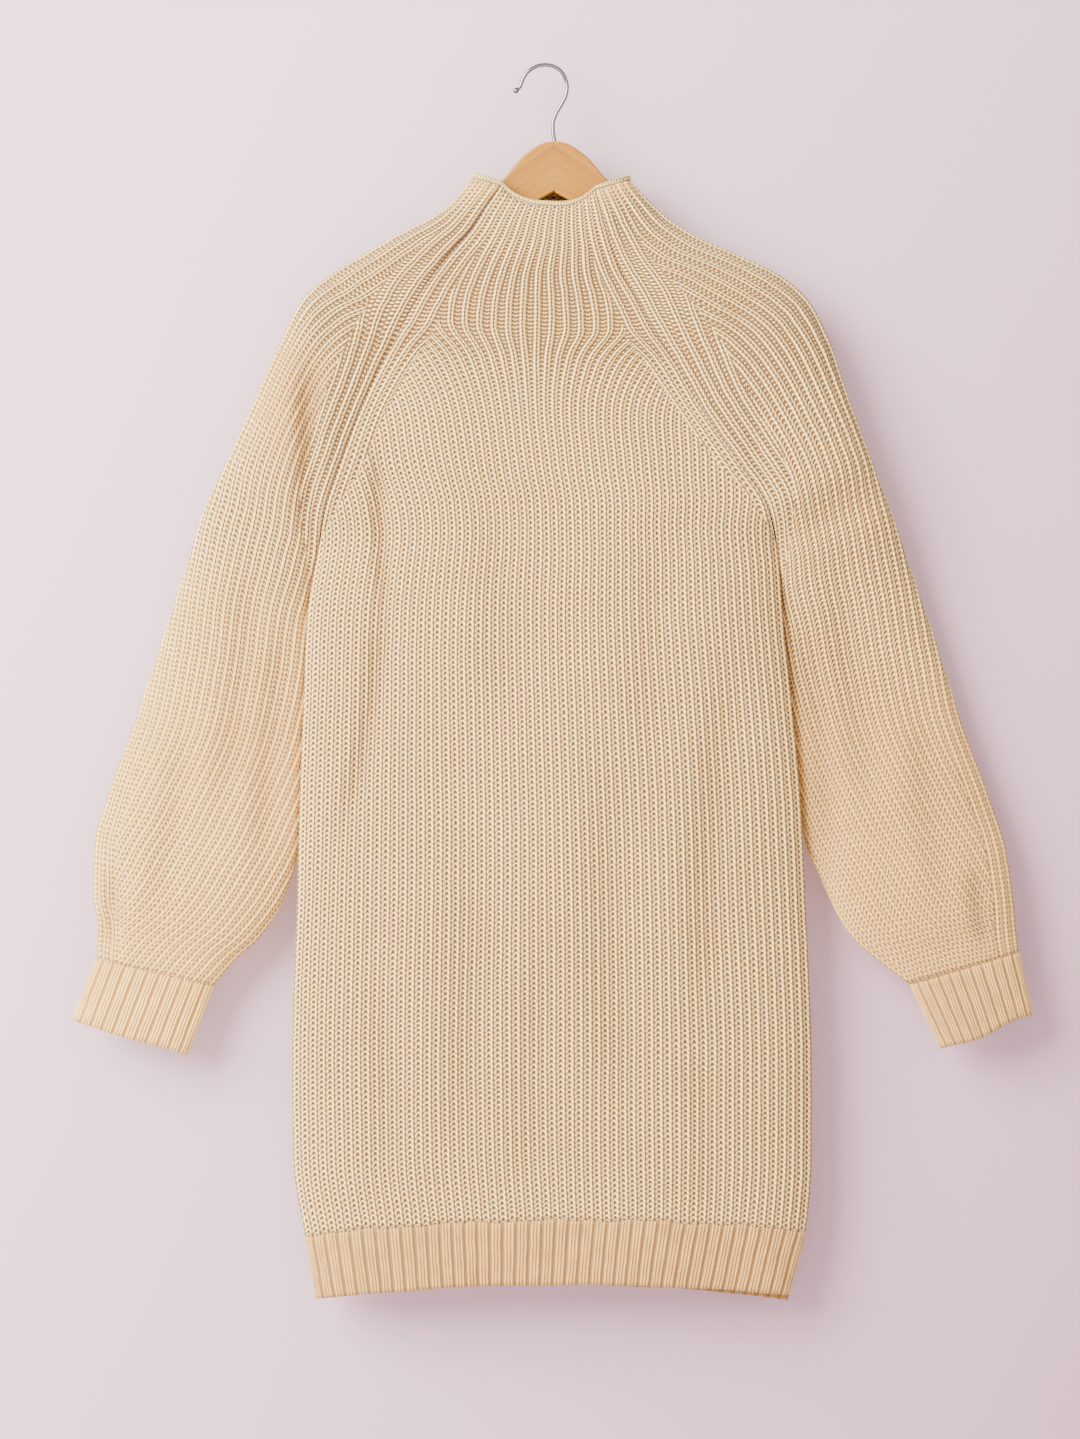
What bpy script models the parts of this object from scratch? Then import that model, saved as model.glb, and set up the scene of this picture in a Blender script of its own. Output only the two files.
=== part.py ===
"""Sweater dress on a wooden hanger.

A knitted raglan dress with a mock neck, balloon sleeves, ribbed cuffs and a ribbed hem hangs on a
two-arm wooden hanger with a wire hook. Metres, +Z up, the front faces -Y, left is -X. The origin is
the bearing point inside the top of the hook. Tables give sizes in millimetres.
"""

import math

import bmesh
import bpy
from mathutils import Vector

MM = 0.001

# Driving dimensions, millimetres
WALL = 2.4              # cloth between the grooves of the ribs and the plain inside
RIB_RAISE = 1.1         # height of a rib over its grooves
BAND_RAISE = 1.2        # height of a rib of the hem and the cuffs
SEAM_HALF = 0.2         # half of the gap between two pieces, along a row
SIDE_HALF = 0.15        # half of the gap between front and back at the side seams
BAND_GAP = 0.3          # gap between a panel and the band that continues it
NECK_BAND_HEIGHT = 4.2
NECK_BAND_WALL = 2.8
LENS_POWER = 2.5        # how flat the middle of a section is
CURVE_STEPS = 40        # points that a row is measured on, for each half

SHOULDER_POWER = 3.0    # how far the yoke keeps its depth towards the outer fold
KEY_MARGIN = 0.02       # in ribs: marks closer than this are one mark
WELD = 0.005            # points closer than this are one point

PANEL_RIBS = 27         # for each half of a panel
SLEEVE_RIBS = 22        # for each half of a sleeve
HEM_RIBS = 20           # for each half of a hem band
CUFF_RIBS = 11          # on each face of a cuff
BODY_MARKS = (0.0, 0.5)         # groove and ridge, in ribs
BAND_MARKS = (0.0, 0.2, 0.8)    # groove and the two corners of the ridge, in ribs
GROOVE_REACH = 0.1      # in ribs: a mark nearer than this to a whole number is a groove
PANEL_PLAIN_MARKS = (0, 1.4, 2.8, 4.2, 5.6, 10, 15.5, 21, 25.8)     # corners of the plain inside
SLEEVE_PLAIN_MARKS = (0, 0.8, 2, 4, 7, 11, 15.5, 20.5)
NECK_PANEL_SHARES = [share / 7 for share in range(-7, 8)]
NECK_SLEEVE_SHARES = [-1.0, -0.6, -0.35, -0.15, 0.0, 0.15, 0.35, 0.6, 1.0]

WOOD_THICKNESS = 11.0
WOOD_EDGE = 2.5
WOOD_SHARP_ANGLE = 60.0         # degrees: edges sharper than this are rounded
WOOD_CENTRE = 7.6
GLUE_HALF = 0.15
WIRE_RADIUS = 1.5
WIRE_POINTS_PER_SPAN = 3
TIP_RADIUS = 2.3        # of the knob at the wire's tip
TIP_POINT = 0.7         # where the knob is thickest, in points of the wire's line
TIP_REACH = 1.6         # points over which the knob thins out
BORE_RADIUS = 1.9
BORE_DEPTH = 20.0
BORE_SIDES = 16

# Rows of the two panels, from the neck to the hem seam. The ends of a row lie on the raglan seams
# down to the armpit row and on the side seams below it. dip: how far the middle hangs below the
# ends, front and back. depth: how far the middle stands out from the mid plane. seam: the same at
# the ends. round: 0 for a flat arch, 1 for a section that closes round at its ends. ribs: ribs from
# the middle to an end.
PANEL_COLUMNS = ("left_x", "left_z", "right_x", "right_z", "front_dip", "back_dip",
                 "depth", "seam", "round", "ribs")
PANEL_ROWS = [
    (-37, -98, 40.3, -102.4, 12.1, -1.0, 15.5, 14.5, 0.0, 7.0),
    (-46, -112, 45, -116, 9.0, 1.0, 17.5, 16.0, 0.0, 7.0),
    (-58, -131, 51, -138, 7.0, 2.0, 19.5, 17.5, 0.0, 7.0),
    (-78, -154, 60, -162, 6.0, 3.0, 21.0, 19.0, 0.0, 7.0),
    (-96, -178, 74, -186, 5.0, 4.0, 22.0, 19.5, 0.0, 7.0),
    (-110, -202, 87, -210, 5.0, 5.0, 23.0, 20.0, 0.0, 7.0),
    (-127, -234, 105, -239, 3.0, 3.0, 23.5, 20.0, 0.1, 11.0),
    (-145, -272, 126, -276, 2.0, 2.0, 24.0, 19.0, 0.25, 16.5),
    (-163, -319, 154, -316, 0.0, 0.0, 24.5, 16.0, 0.5, 21.5),
    (-175, -354, 178, -353, 0.0, 0.0, 25.0, 10.0, 0.8, 24.5),
    (-182, -391, 186, -390, 0.0, 0.0, 25.0, 0.0, 1.0, 27.0),
    (-190, -442, 190, -442, 0.0, 0.0, 25.0, 0.0, 1.0, 27.0),
    (-193, -510, 197, -510, 0.0, 0.0, 25.0, 0.0, 1.0, 27.0),
    (-196, -586, 204, -586, -1.0, -1.0, 25.0, 0.0, 1.0, 27.0),
    (-198, -666, 208, -666, -2.0, -2.0, 25.0, 0.0, 1.0, 27.0),
    (-202, -794, 213, -794, -6.0, -6.0, 25.0, 0.0, 1.0, 27.0),
    (-201, -874, 213, -874, -9.0, -9.0, 24.5, 0.0, 1.0, 27.0),
    (-192, -934, 209, -930, -12.0, -12.0, 24.0, 0.0, 1.0, 27.0),
]
ARMPIT_ROW = 10

# Lower edges of the hem bands: the same columns as a panel row has.
HEM_BOTTOM_FRONT = (-183, -985, 195, -982, -12.0, -12.0, 23.0, 0.0, 1.0, 27.0)
HEM_BOTTOM_BACK = (-183, -985, 194, -987, -12.0, -10.0, 23.0, 0.0, 1.0, 27.0)

# Rows of the sleeves, from the neck to the cuff seam. fold: the outer edge. inner: the edge under
# the arm, which down to the armpit row lies on the raglan seam of the panels. bulge: half depth of
# the sleeve's own hollow. back: how far the row lies behind the mid plane.
SLEEVE_COLUMNS = ("fold_x", "fold_z", "inner_x", "inner_z", "bulge", "back", "ribs")
LEFT_SLEEVE_ROWS = [
    (-57.5, -88.5, None, None, 0.0, 0.0, 4.5),
    (-74, -109, None, None, 0.0, 0.0, 4.5),
    (-90, -121, None, None, 0.0, 0.0, 4.5),
    (-116, -134, None, None, 0.0, 0.0, 4.5),
    (-146, -151, None, None, 1.0, 0.0, 5.0),
    (-173.5, -168.5, None, None, 2.0, 0.0, 6.0),
    (-193.5, -186.5, None, None, 3.0, 0.0, 8.0),
    (-211, -222, None, None, 4.0, 0.0, 10.0),
    (-230, -265, None, None, 6.0, 0.0, 11.5),
    (-250, -308, None, None, 9.0, 0.0, 12.0),
    (-270, -350, None, None, 13.0, 0.0, 13.0),
    (-289, -406, -189.5, -436, 14.0, 7.5, 15.0),
    (-309, -466, -190.5, -498, 15.0, 11.0, 17.5),
    (-329, -526, -193, -562, 16.0, 11.0, 19.5),
    (-350, -582, -197, -622, 17.0, 11.0, 21.5),
    (-361, -622, -208, -663, 17.0, 9.0, 21.5),
    (-362, -662, -226, -694, 16.0, 6.0, 21.5),
    (-358, -686, -247, -714, 13.0, 4.0, 21.5),
    (-359, -713, -265, -735, 10.0, 2.0, 21.5),
]
RIGHT_SLEEVE_ROWS = [
    (67.5, -91, None, None, 0.0, 0.0, 5.5),
    (84, -109, None, None, 0.0, 0.0, 5.5),
    (100, -123, None, None, 0.0, 0.0, 5.5),
    (126, -138, None, None, 0.0, 0.0, 6.0),
    (158, -152, None, None, 1.0, 0.0, 7.5),
    (188, -167, None, None, 2.0, 0.0, 9.0),
    (208.5, -185, None, None, 3.0, 0.0, 11.0),
    (226, -218, None, None, 4.0, 0.0, 12.5),
    (242, -265, None, None, 6.0, 0.0, 13.0),
    (258, -308, None, None, 9.0, 0.0, 13.0),
    (274, -350, None, None, 13.0, 0.0, 13.5),
    (294, -406, 189.5, -436, 14.0, 7.5, 15.0),
    (315, -466, 194, -498, 15.0, 11.0, 17.5),
    (334, -526, 200, -558, 16.0, 11.0, 19.5),
    (355, -582, 207, -614, 17.0, 11.0, 21.5),
    (369, -625, 223, -654, 17.0, 9.0, 21.5),
    (375, -666, 244, -694, 16.0, 6.0, 21.5),
    (377, -690, 268, -716, 13.0, 4.0, 21.5),
    (379, -708, 292, -734, 10.0, 2.0, 21.5),
]
SLEEVE_TABLES = {"left": LEFT_SLEEVE_ROWS, "right": RIGHT_SLEEVE_ROWS}
CUFF_BOTTOMS = {"left": (-378, -763, -286, -790, 9.5, 1.0, 21.5),
                "right": (390, -758, 317, -787, 9.5, 1.0, 21.5)}

# Soft troughs of the cloth, each along a straight line in the front view.
FOLD_COLUMNS = ("top_x", "top_z", "bottom_x", "bottom_z", "depth", "width")
FRONT_FOLDS = [
    (-130, -298, -127, -440, 3.0, 14.0),
    (-127, -440, -160, -590, 2.5, 16.0),
    (150, -480, 130, -760, 1.8, 22.0),
    (-60, -620, -75, -880, 1.5, 26.0),
    (50, -560, 66, -860, 1.2, 24.0),
]
BACK_FOLDS = [
    (120, -320, 140, -560, 3.0, 16.0),
    (-140, -400, -120, -700, 2.4, 18.0),
    (20, -560, 10, -860, 1.6, 26.0),
]
SLEEVE_FOLDS = [
    (190, -300, 200, -400, 2.5, 12.0),
    (235, -400, 262, -600, 2.0, 16.0),
    (345, -640, 352, -706, 3.0, 9.0),
]

# Upper and lower edge of the right hanger arm, measured from the centre line.
ARM_TOP = [(0, -60), (8, -61), (16, -64.8), (25.6, -72), (32.8, -80), (40.4, -88.8), (50, -98.5),
           (64, -111), (80, -123.5), (100, -137), (120, -147), (150, -160), (177, -173),
           (186, -179.5)]
ARM_TIP = [(189.5, -186), (187, -193)]
ARM_BOTTOM = [(182, -195), (150, -180), (80, -143.5), (0, -100.8)]

# Centre line of the hook wire, from the tip to its end in the wood.
WIRE_ROUTE = [(-23.5, -19.5), (-19.5, -15.5), (-17.5, -9.5), (-13.4, -3.7), (-6.8, 0.4), (0, 1.6),
              (6.2, 0.6), (11.6, -2.4), (15.8, -8), (17.6, -15), (16.6, -23), (13, -30.4),
              (8.6, -38), (6.4, -45.2), (6.6, -52.8), (7.6, -60), (7.6, -72), (7.6, -78)]


# ---------------------------------------------------------------- scene and materials

def clear_scene():
    for item in list(bpy.data.objects):
        bpy.data.objects.remove(item, do_unlink=True)


def make_collection(name):
    collection = bpy.data.collections.new(name)
    bpy.context.scene.collection.children.link(collection)
    return collection


def make_material(name, colour, roughness, metallic):
    material = bpy.data.materials.new(name)
    material.use_nodes = True
    shader = material.node_tree.nodes["Principled BSDF"]
    shader.inputs["Base Color"].default_value = (*colour, 1.0)
    shader.inputs["Roughness"].default_value = roughness
    shader.inputs["Metallic"].default_value = metallic
    return material


def finish_mesh(mesh, name):
    """The mesh data of a closed bmesh, with its normals outwards."""
    bmesh.ops.recalc_face_normals(mesh, faces=mesh.faces)
    data = bpy.data.meshes.new(name)
    mesh.to_mesh(data)
    mesh.free()
    return data


def add_object(name, mesh, material, collection):
    """Link a mesh, moved from millimetres to metres, as one named piece."""
    for vertex in mesh.vertices:
        vertex.co *= MM
    mesh.materials.append(material)
    piece = bpy.data.objects.new(name, mesh)
    collection.objects.link(piece)
    return piece


# ---------------------------------------------------------------- rows of cloth

class Row:
    """One row of cloth: a measured line across a piece, with a place for each of its ribs."""

    def __init__(self, points, ribs, chord, outside, end_normals):
        self.points = points
        self.ribs = ribs
        self.lengths = [0.0]
        for first, second in zip(points, points[1:]):
            self.lengths.append(self.lengths[-1] + (second - first).length)
        along = chord.cross(Vector((0.0, 1.0, 0.0)))
        befores = [points[0]] + points[:-1]
        afters = points[1:] + [points[-1]]
        self.normals = [(after - before).cross(along).normalized()
                        for before, after in zip(befores, afters)]
        if self.normals[CURVE_STEPS // 2].dot(outside) < 0:
            self.normals = [-normal for normal in self.normals]
        self.normals[0], self.normals[-1] = end_normals

    def at(self, key, lift):
        """The place of rib key, counted from the middle, raised by lift."""
        target = (key / self.ribs + 1) / 2 * self.lengths[-1]
        index = 0
        while index < len(self.lengths) - 2 and self.lengths[index + 1] < target:
            index += 1
        span = self.lengths[index + 1] - self.lengths[index]
        share = min(1.0, max(0.0, (target - self.lengths[index]) / span))
        place = self.points[index].lerp(self.points[index + 1], share)
        normal = self.normals[index].lerp(self.normals[index + 1], share).normalized()
        return place + normal * lift


def lens(u):
    """Half depth of a flat-lying tube at u, from -1 to 1 across it."""
    return math.sqrt(max(0.0, 1.0 - abs(u) ** LENS_POWER))


def flat(x, z):
    """A direction or place in the plane of the front view."""
    return Vector((x, 0.0, z))


def trough(folds, x, z):
    """How far the troughs push a point of the cloth in."""
    total = 0.0
    for values in folds:
        fold = dict(zip(FOLD_COLUMNS, values))
        top = flat(fold["top_x"], fold["top_z"])
        line = flat(fold["bottom_x"], fold["bottom_z"]) - top
        offset = flat(x, z) - top
        along = min(1.0, max(0.0, offset.dot(line) / line.length_squared))
        across = (offset - line * along).length
        total += fold["depth"] * math.exp(-((across / fold["width"]) ** 2))
    return total


def panel_row(values, side, folds, ribs=None, drop=0.0):
    """A row of the front (side -1) or the back (side 1), from its left end to its right end."""
    size = dict(zip(PANEL_COLUMNS, values))
    left = flat(size["left_x"] + SEAM_HALF, size["left_z"] - drop)
    right = flat(size["right_x"] - SEAM_HALF, size["right_z"] - drop)
    dip = size["front_dip"] if side < 0 else size["back_dip"]
    points = []
    for step in range(-CURVE_STEPS, CURVE_STEPS + 1):
        u = math.sin(step / CURVE_STEPS * math.pi / 2)
        place = left.lerp(right, (u + 1) / 2)
        place.z -= dip * (1 - u * u)
        arch = (1 - size["round"]) * (1 - u * u) + size["round"] * lens(u)
        depth = SIDE_HALF + size["seam"] + (size["depth"] - size["seam"]) * arch
        depth -= trough(folds, place.x, place.z) * (1 - u ** 4)
        place.y = side * depth
        points.append(place)
    chord = (right - left).normalized()
    outside = Vector((0.0, side, 0.0))
    ends = [(outward * size["round"] + outside * (1 - size["round"])).normalized()
            for outward in (-chord, chord)]
    return Row(points, ribs or size["ribs"], chord, outside, ends)


def sleeve_row(values, seam, tilt, folds, ribs=None, drop=None):
    """A row of a sleeve, from its front edge over the outer fold to its back edge."""
    size = dict(zip(SLEEVE_COLUMNS, values))
    fold = flat(size["fold_x"], size["fold_z"])
    inner = flat(size["inner_x"], size["inner_z"])
    if drop:
        fold += drop
        inner += drop
    chord = (fold - inner).normalized()
    inner += chord * SEAM_HALF
    points = []
    for step in range(-CURVE_STEPS, CURVE_STEPS + 1):
        share = 0.5 - 0.5 * math.cos((1 - abs(step) / CURVE_STEPS) * math.pi)
        hollow = lens(2 * share - 1)
        shoulder = math.sqrt(max(0.0, 1 - share ** SHOULDER_POWER))
        place = inner.lerp(fold, share)
        depth = seam * shoulder + size["bulge"] * hollow
        depth -= trough(folds, abs(place.x), place.z) * hollow
        place.y = size["back"] + math.copysign(depth, step)
        points.append(place)
    front = Vector((0.0, -1.0, 0.0))
    ends = [(-chord * tilt + outside * (1 - tilt)).normalized() for outside in (front, -front)]
    return Row(points, ribs or size["ribs"], chord, front, ends)


# ---------------------------------------------------------------- skins and walls

def both_sides(marks):
    """Marks measured from the middle, on both sides of it and in order."""
    return sorted({-mark for mark in marks} | set(marks))


def rib_marks(ribs, parts):
    """The marks of a rib pattern that repeats from the middle outwards."""
    return both_sides([whole + part for whole in range(ribs) for part in parts])


def zip_lines(mesh, first, second):
    """Faces between two lines of (key, vertex) that run side by side."""
    i = 0
    j = 0
    while i < len(first) - 1 or j < len(second) - 1:
        next_first = first[i + 1][0] if i < len(first) - 1 else math.inf
        next_second = second[j + 1][0] if j < len(second) - 1 else math.inf
        corners = [second[j][1], first[i][1]]
        if abs(next_first - next_second) < KEY_MARGIN:
            corners += [first[i + 1][1], second[j + 1][1]]
            i += 1
            j += 1
        elif next_first < next_second:
            corners += [first[i + 1][1]]
            i += 1
        else:
            corners += [second[j + 1][1]]
            j += 1
        mesh.faces.new(corners)


def skin(mesh, rows, keys, lift_of):
    """A net over all rows. A rib that a row has no room for starts on the piece's edge."""
    lines = []
    for row in rows:
        edge = [(sign * row.ribs, row.at(sign * row.ribs, lift_of(None))) for sign in (-1, 1)]
        inside = [(key, row.at(key, lift_of(key))) for key in keys
                  if abs(key) < row.ribs - KEY_MARGIN]
        spots = [edge[0]] + inside + [edge[1]]
        lines.append([(key, mesh.verts.new(place)) for key, place in spots])
    edges = {-1: [(0.0, lines[0][0][1])], 1: [(0.0, lines[0][-1][1])]}
    for number, (upper, lower) in enumerate(zip(rows, rows[1:])):
        starts = {}
        for sign in (-1, 1):
            end = 0 if sign < 0 else -1
            top = lines[number][end][1].co
            bottom = lines[number + 1][end][1].co
            starts[sign] = []
            for key in keys:
                if key * sign > upper.ribs + KEY_MARGIN and key * sign < lower.ribs - KEY_MARGIN:
                    share = (key * sign - upper.ribs) / (lower.ribs - upper.ribs)
                    vertex = mesh.verts.new(top.lerp(bottom, share))
                    starts[sign].append((key, vertex))
                    edges[sign].append((number + share, vertex))
            edges[sign].append((number + 1.0, lines[number + 1][end][1]))
        zip_lines(mesh, starts[-1] + lines[number] + starts[1], lines[number + 1])
    for sign in (-1, 1):
        edges[sign].sort(key=lambda spot: spot[0])
    return lines[0], lines[-1], edges


def wall(name, rows, rib_keys, rib_lift, plain_keys, closed_from=None):
    """A closed wall: ribs outside, a plain inside, and a rim wherever the piece has an edge."""
    mesh = bmesh.new()
    outer = skin(mesh, rows, rib_keys, rib_lift)
    inner = skin(mesh, rows, plain_keys, lambda key: -WALL)
    zip_lines(mesh, outer[0], inner[0])
    zip_lines(mesh, outer[1], inner[1])
    last = len(rows) if closed_from is None else closed_from
    for sign in (-1, 1):
        sides = [[spot for spot in net[2][sign] if spot[0] <= last] for net in (outer, inner)]
        if last:
            zip_lines(mesh, *sides)
    bmesh.ops.remove_doubles(mesh, verts=mesh.verts, dist=WELD)
    return finish_mesh(mesh, name)


def body_lift(key):
    """The half-cardigan rib: one round ridge between two grooves."""
    return RIB_RAISE if key is not None and abs(key) % 1.0 > GROOVE_REACH else 0.0


def band_lift(key):
    """The broad rib of the hem and the cuffs: a flat band between narrow grooves."""
    return BAND_RAISE if key is not None and abs(key) % 1.0 > GROOVE_REACH else 0.0


# ---------------------------------------------------------------- garment pieces

def build_panel(name, side, folds):
    rows = [panel_row(values, side, folds) for values in PANEL_ROWS]
    return wall(name, rows, rib_marks(PANEL_RIBS, BODY_MARKS), body_lift,
                both_sides(PANEL_PLAIN_MARKS))


def build_hem(name, side, folds):
    bottom = HEM_BOTTOM_FRONT if side < 0 else HEM_BOTTOM_BACK
    rows = [panel_row(PANEL_ROWS[-1], side, folds, HEM_RIBS, BAND_GAP),
            panel_row(bottom, side, folds, HEM_RIBS)]
    return wall(name, rows, rib_marks(HEM_RIBS, BAND_MARKS), band_lift,
                both_sides(range(0, HEM_RIBS, 2)))


def sleeve_rows(end, table):
    """Rows of a sleeve; down to the armpit their inner ends are the ends of the panels' rows."""
    rows = []
    for number, values in enumerate(table):
        seam = 0.0
        tilt = 1.0
        if number <= ARMPIT_ROW:
            size = dict(zip(PANEL_COLUMNS, PANEL_ROWS[number]))
            values = values[:2] + (size[end + "_x"], size[end + "_z"]) + values[4:]
            seam = size["seam"]
            tilt = size["round"]
        rows.append(sleeve_row(values, seam, tilt, SLEEVE_FOLDS))
    return rows


def build_sleeve(end, table):
    return wall(end + "_sleeve", sleeve_rows(end, table), rib_marks(SLEEVE_RIBS, BODY_MARKS),
                body_lift, both_sides(SLEEVE_PLAIN_MARKS), ARMPIT_ROW)


def build_cuff(end, table):
    bottom = CUFF_BOTTOMS[end]
    seam = dict(zip(SLEEVE_COLUMNS, table[-1]))
    edge = dict(zip(SLEEVE_COLUMNS, bottom))
    drop = flat(edge["fold_x"] - seam["fold_x"], edge["fold_z"] - seam["fold_z"]).normalized()
    rows = [sleeve_row(table[-1], 0.0, 1.0, [], CUFF_RIBS, drop * BAND_GAP),
            sleeve_row(bottom, 0.0, 1.0, [], CUFF_RIBS)]
    return wall(end + "_cuff", rows, rib_marks(CUFF_RIBS, BAND_MARKS), band_lift,
                both_sides(range(CUFF_RIBS)), 0)


def build_neck_band(name):
    """A narrow ring just above the neck edges of the two panels and the two sleeves."""
    front = panel_row(PANEL_ROWS[0], -1, [])
    back = panel_row(PANEL_ROWS[0], 1, [])
    left, right = [sleeve_rows(end, table)[0] for end, table in SLEEVE_TABLES.items()]
    loop = [(front, share) for share in NECK_PANEL_SHARES]
    loop += [(right, share) for share in NECK_SLEEVE_SHARES]
    loop += [(back, -share) for share in NECK_PANEL_SHARES]
    loop += [(left, -share) for share in NECK_SLEEVE_SHARES]
    corners = ((0.0, BAND_GAP), (0.0, BAND_GAP + NECK_BAND_HEIGHT),
               (-NECK_BAND_WALL, BAND_GAP + NECK_BAND_HEIGHT), (-NECK_BAND_WALL, BAND_GAP))
    mesh = bmesh.new()
    rings = []
    for lift, rise in corners:
        places = [row.at(share * row.ribs, lift) + flat(0.0, rise) for row, share in loop]
        rings.append([mesh.verts.new(place) for place in places])
    for ring, other in zip(rings, rings[1:] + rings[:1]):
        for index in range(len(loop)):
            after = (index + 1) % len(loop)
            mesh.faces.new((ring[index], ring[after], other[after], other[index]))
    return finish_mesh(mesh, name)


# ---------------------------------------------------------------- hanger

def hanger_outline():
    """The whole wooden outline: up the left arm, over the dome, down the right arm and back."""
    right = ARM_TOP + ARM_TIP + ARM_BOTTOM
    left = [(-x, z) for x, z in reversed(right[1:-1])]
    return [(WOOD_CENTRE + x, z) for x, z in right + left]


def build_wood(guides):
    """Both arms in one board with rounded edges and the bore for the hook."""
    curve = bpy.data.curves.new("hanger_outline", "CURVE")
    curve.dimensions = "2D"
    curve.fill_mode = "BOTH"
    curve.extrude = WOOD_THICKNESS / 2
    spline = curve.splines.new("POLY")
    outline = hanger_outline()
    spline.points.add(len(outline) - 1)
    for point, (x, z) in zip(spline.points, outline):
        point.co = (x, z, 0.0, 1.0)
    spline.use_cyclic_u = True
    board = bpy.data.objects.new("hanger_outline", curve)
    guides.objects.link(board)
    mesh = bpy.data.meshes.new_from_object(
        board.evaluated_get(bpy.context.evaluated_depsgraph_get()))
    bpy.data.objects.remove(board)
    turned = bmesh.new()
    turned.from_mesh(mesh)
    bmesh.ops.remove_doubles(turned, verts=turned.verts, dist=WELD)
    for vertex in turned.verts:
        vertex.co = (vertex.co.x, -vertex.co.z, vertex.co.y)
    turned.to_mesh(mesh)
    turned.free()
    wood = bpy.data.objects.new("hanger_wood", mesh)
    guides.objects.link(wood)
    rounding = wood.modifiers.new("rounded edges", "BEVEL")
    rounding.width = WOOD_EDGE
    rounding.segments = 2
    rounding.limit_method = "ANGLE"
    rounding.angle_limit = math.radians(WOOD_SHARP_ANGLE)
    bpy.ops.mesh.primitive_cylinder_add(
        vertices=BORE_SIDES, radius=BORE_RADIUS, depth=2 * BORE_DEPTH,
        location=(WOOD_CENTRE, 0.0, ARM_TOP[0][1]))
    cutter = bpy.context.active_object
    cut = wood.modifiers.new("hook bore", "BOOLEAN")
    cut.object = cutter
    finished = bpy.data.meshes.new_from_object(
        wood.evaluated_get(bpy.context.evaluated_depsgraph_get()))
    bpy.data.objects.remove(wood)
    bpy.data.objects.remove(cutter)
    return finished


def split_arm(name, board, side):
    """One arm: the board cut off just short of the glued joint."""
    mesh = bmesh.new()
    mesh.from_mesh(board)
    cut = bmesh.ops.bisect_plane(
        mesh, geom=mesh.verts[:] + mesh.edges[:] + mesh.faces[:], dist=WELD,
        plane_co=(WOOD_CENTRE + side * GLUE_HALF, 0.0, 0.0), plane_no=(side, 0.0, 0.0),
        clear_inner=True)
    rim = [part for part in cut["geom_cut"] if isinstance(part, bmesh.types.BMEdge)]
    bmesh.ops.triangle_fill(mesh, use_beauty=True, edges=rim)
    return finish_mesh(mesh, name)


def smooth_route(route, per_span):
    """Points of a smooth curve through the route's own points."""
    points = [flat(x, z) for x, z in route]
    padded = [2 * points[0] - points[1]] + points + [2 * points[-1] - points[-2]]
    result = []
    for a, b, c, d in zip(padded, padded[1:], padded[2:], padded[3:]):
        for step in range(per_span):
            t = step / per_span
            result.append(0.5 * (2 * b + (c - a) * t + (2 * a - 5 * b + 4 * c - d) * t * t
                                 + (3 * b - a - 3 * c + d) * t ** 3))
    return result + [points[-1]]


def build_hook(name, material, collection):
    curve = bpy.data.curves.new(name, "CURVE")
    curve.dimensions = "3D"
    curve.bevel_depth = WIRE_RADIUS * MM
    curve.bevel_resolution = 2
    curve.use_fill_caps = True
    points = smooth_route(WIRE_ROUTE, WIRE_POINTS_PER_SPAN)
    spline = curve.splines.new("POLY")
    spline.points.add(len(points) - 1)
    for number, (point, place) in enumerate(zip(spline.points, points)):
        point.co = (*(place * MM), 1.0)
        swell = max(0.0, 1.0 - abs(number - TIP_POINT) / TIP_REACH)
        point.radius = 1.0 + (TIP_RADIUS / WIRE_RADIUS - 1.0) * swell
    curve.materials.append(material)
    collection.objects.link(bpy.data.objects.new(name, curve))


# ---------------------------------------------------------------- the object

def main():
    clear_scene()
    dress = make_collection("sweater_dress_on_hanger")
    guides = make_collection("guides")
    knit = make_material("cream_knit", (0.86, 0.74, 0.58), 0.9, 0.0)
    rib = make_material("cream_rib", (0.85, 0.73, 0.57), 0.9, 0.0)
    wood = make_material("lacquered_wood", (0.72, 0.47, 0.22), 0.35, 0.0)
    chrome = make_material("chrome_wire", (0.75, 0.75, 0.77), 0.15, 1.0)

    for name, side, folds in (("front", -1, FRONT_FOLDS), ("back", 1, BACK_FOLDS)):
        add_object(name + "_panel", build_panel(name + "_panel", side, folds), knit, dress)
        add_object(name + "_hem_rib", build_hem(name + "_hem_rib", side, folds), rib, dress)
    for name, table in SLEEVE_TABLES.items():
        add_object(name + "_sleeve", build_sleeve(name, table), knit, dress)
        add_object(name + "_cuff", build_cuff(name, table), rib, dress)
    add_object("neck_band", build_neck_band("neck_band"), rib, dress)

    board = build_wood(guides)
    for name, side in (("hanger_arm_left", -1), ("hanger_arm_right", 1)):
        add_object(name, split_arm(name, board, side), wood, dress)
    build_hook("hanger_hook", chrome, dress)


main()
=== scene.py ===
import math
from bisect import bisect_right

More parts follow.
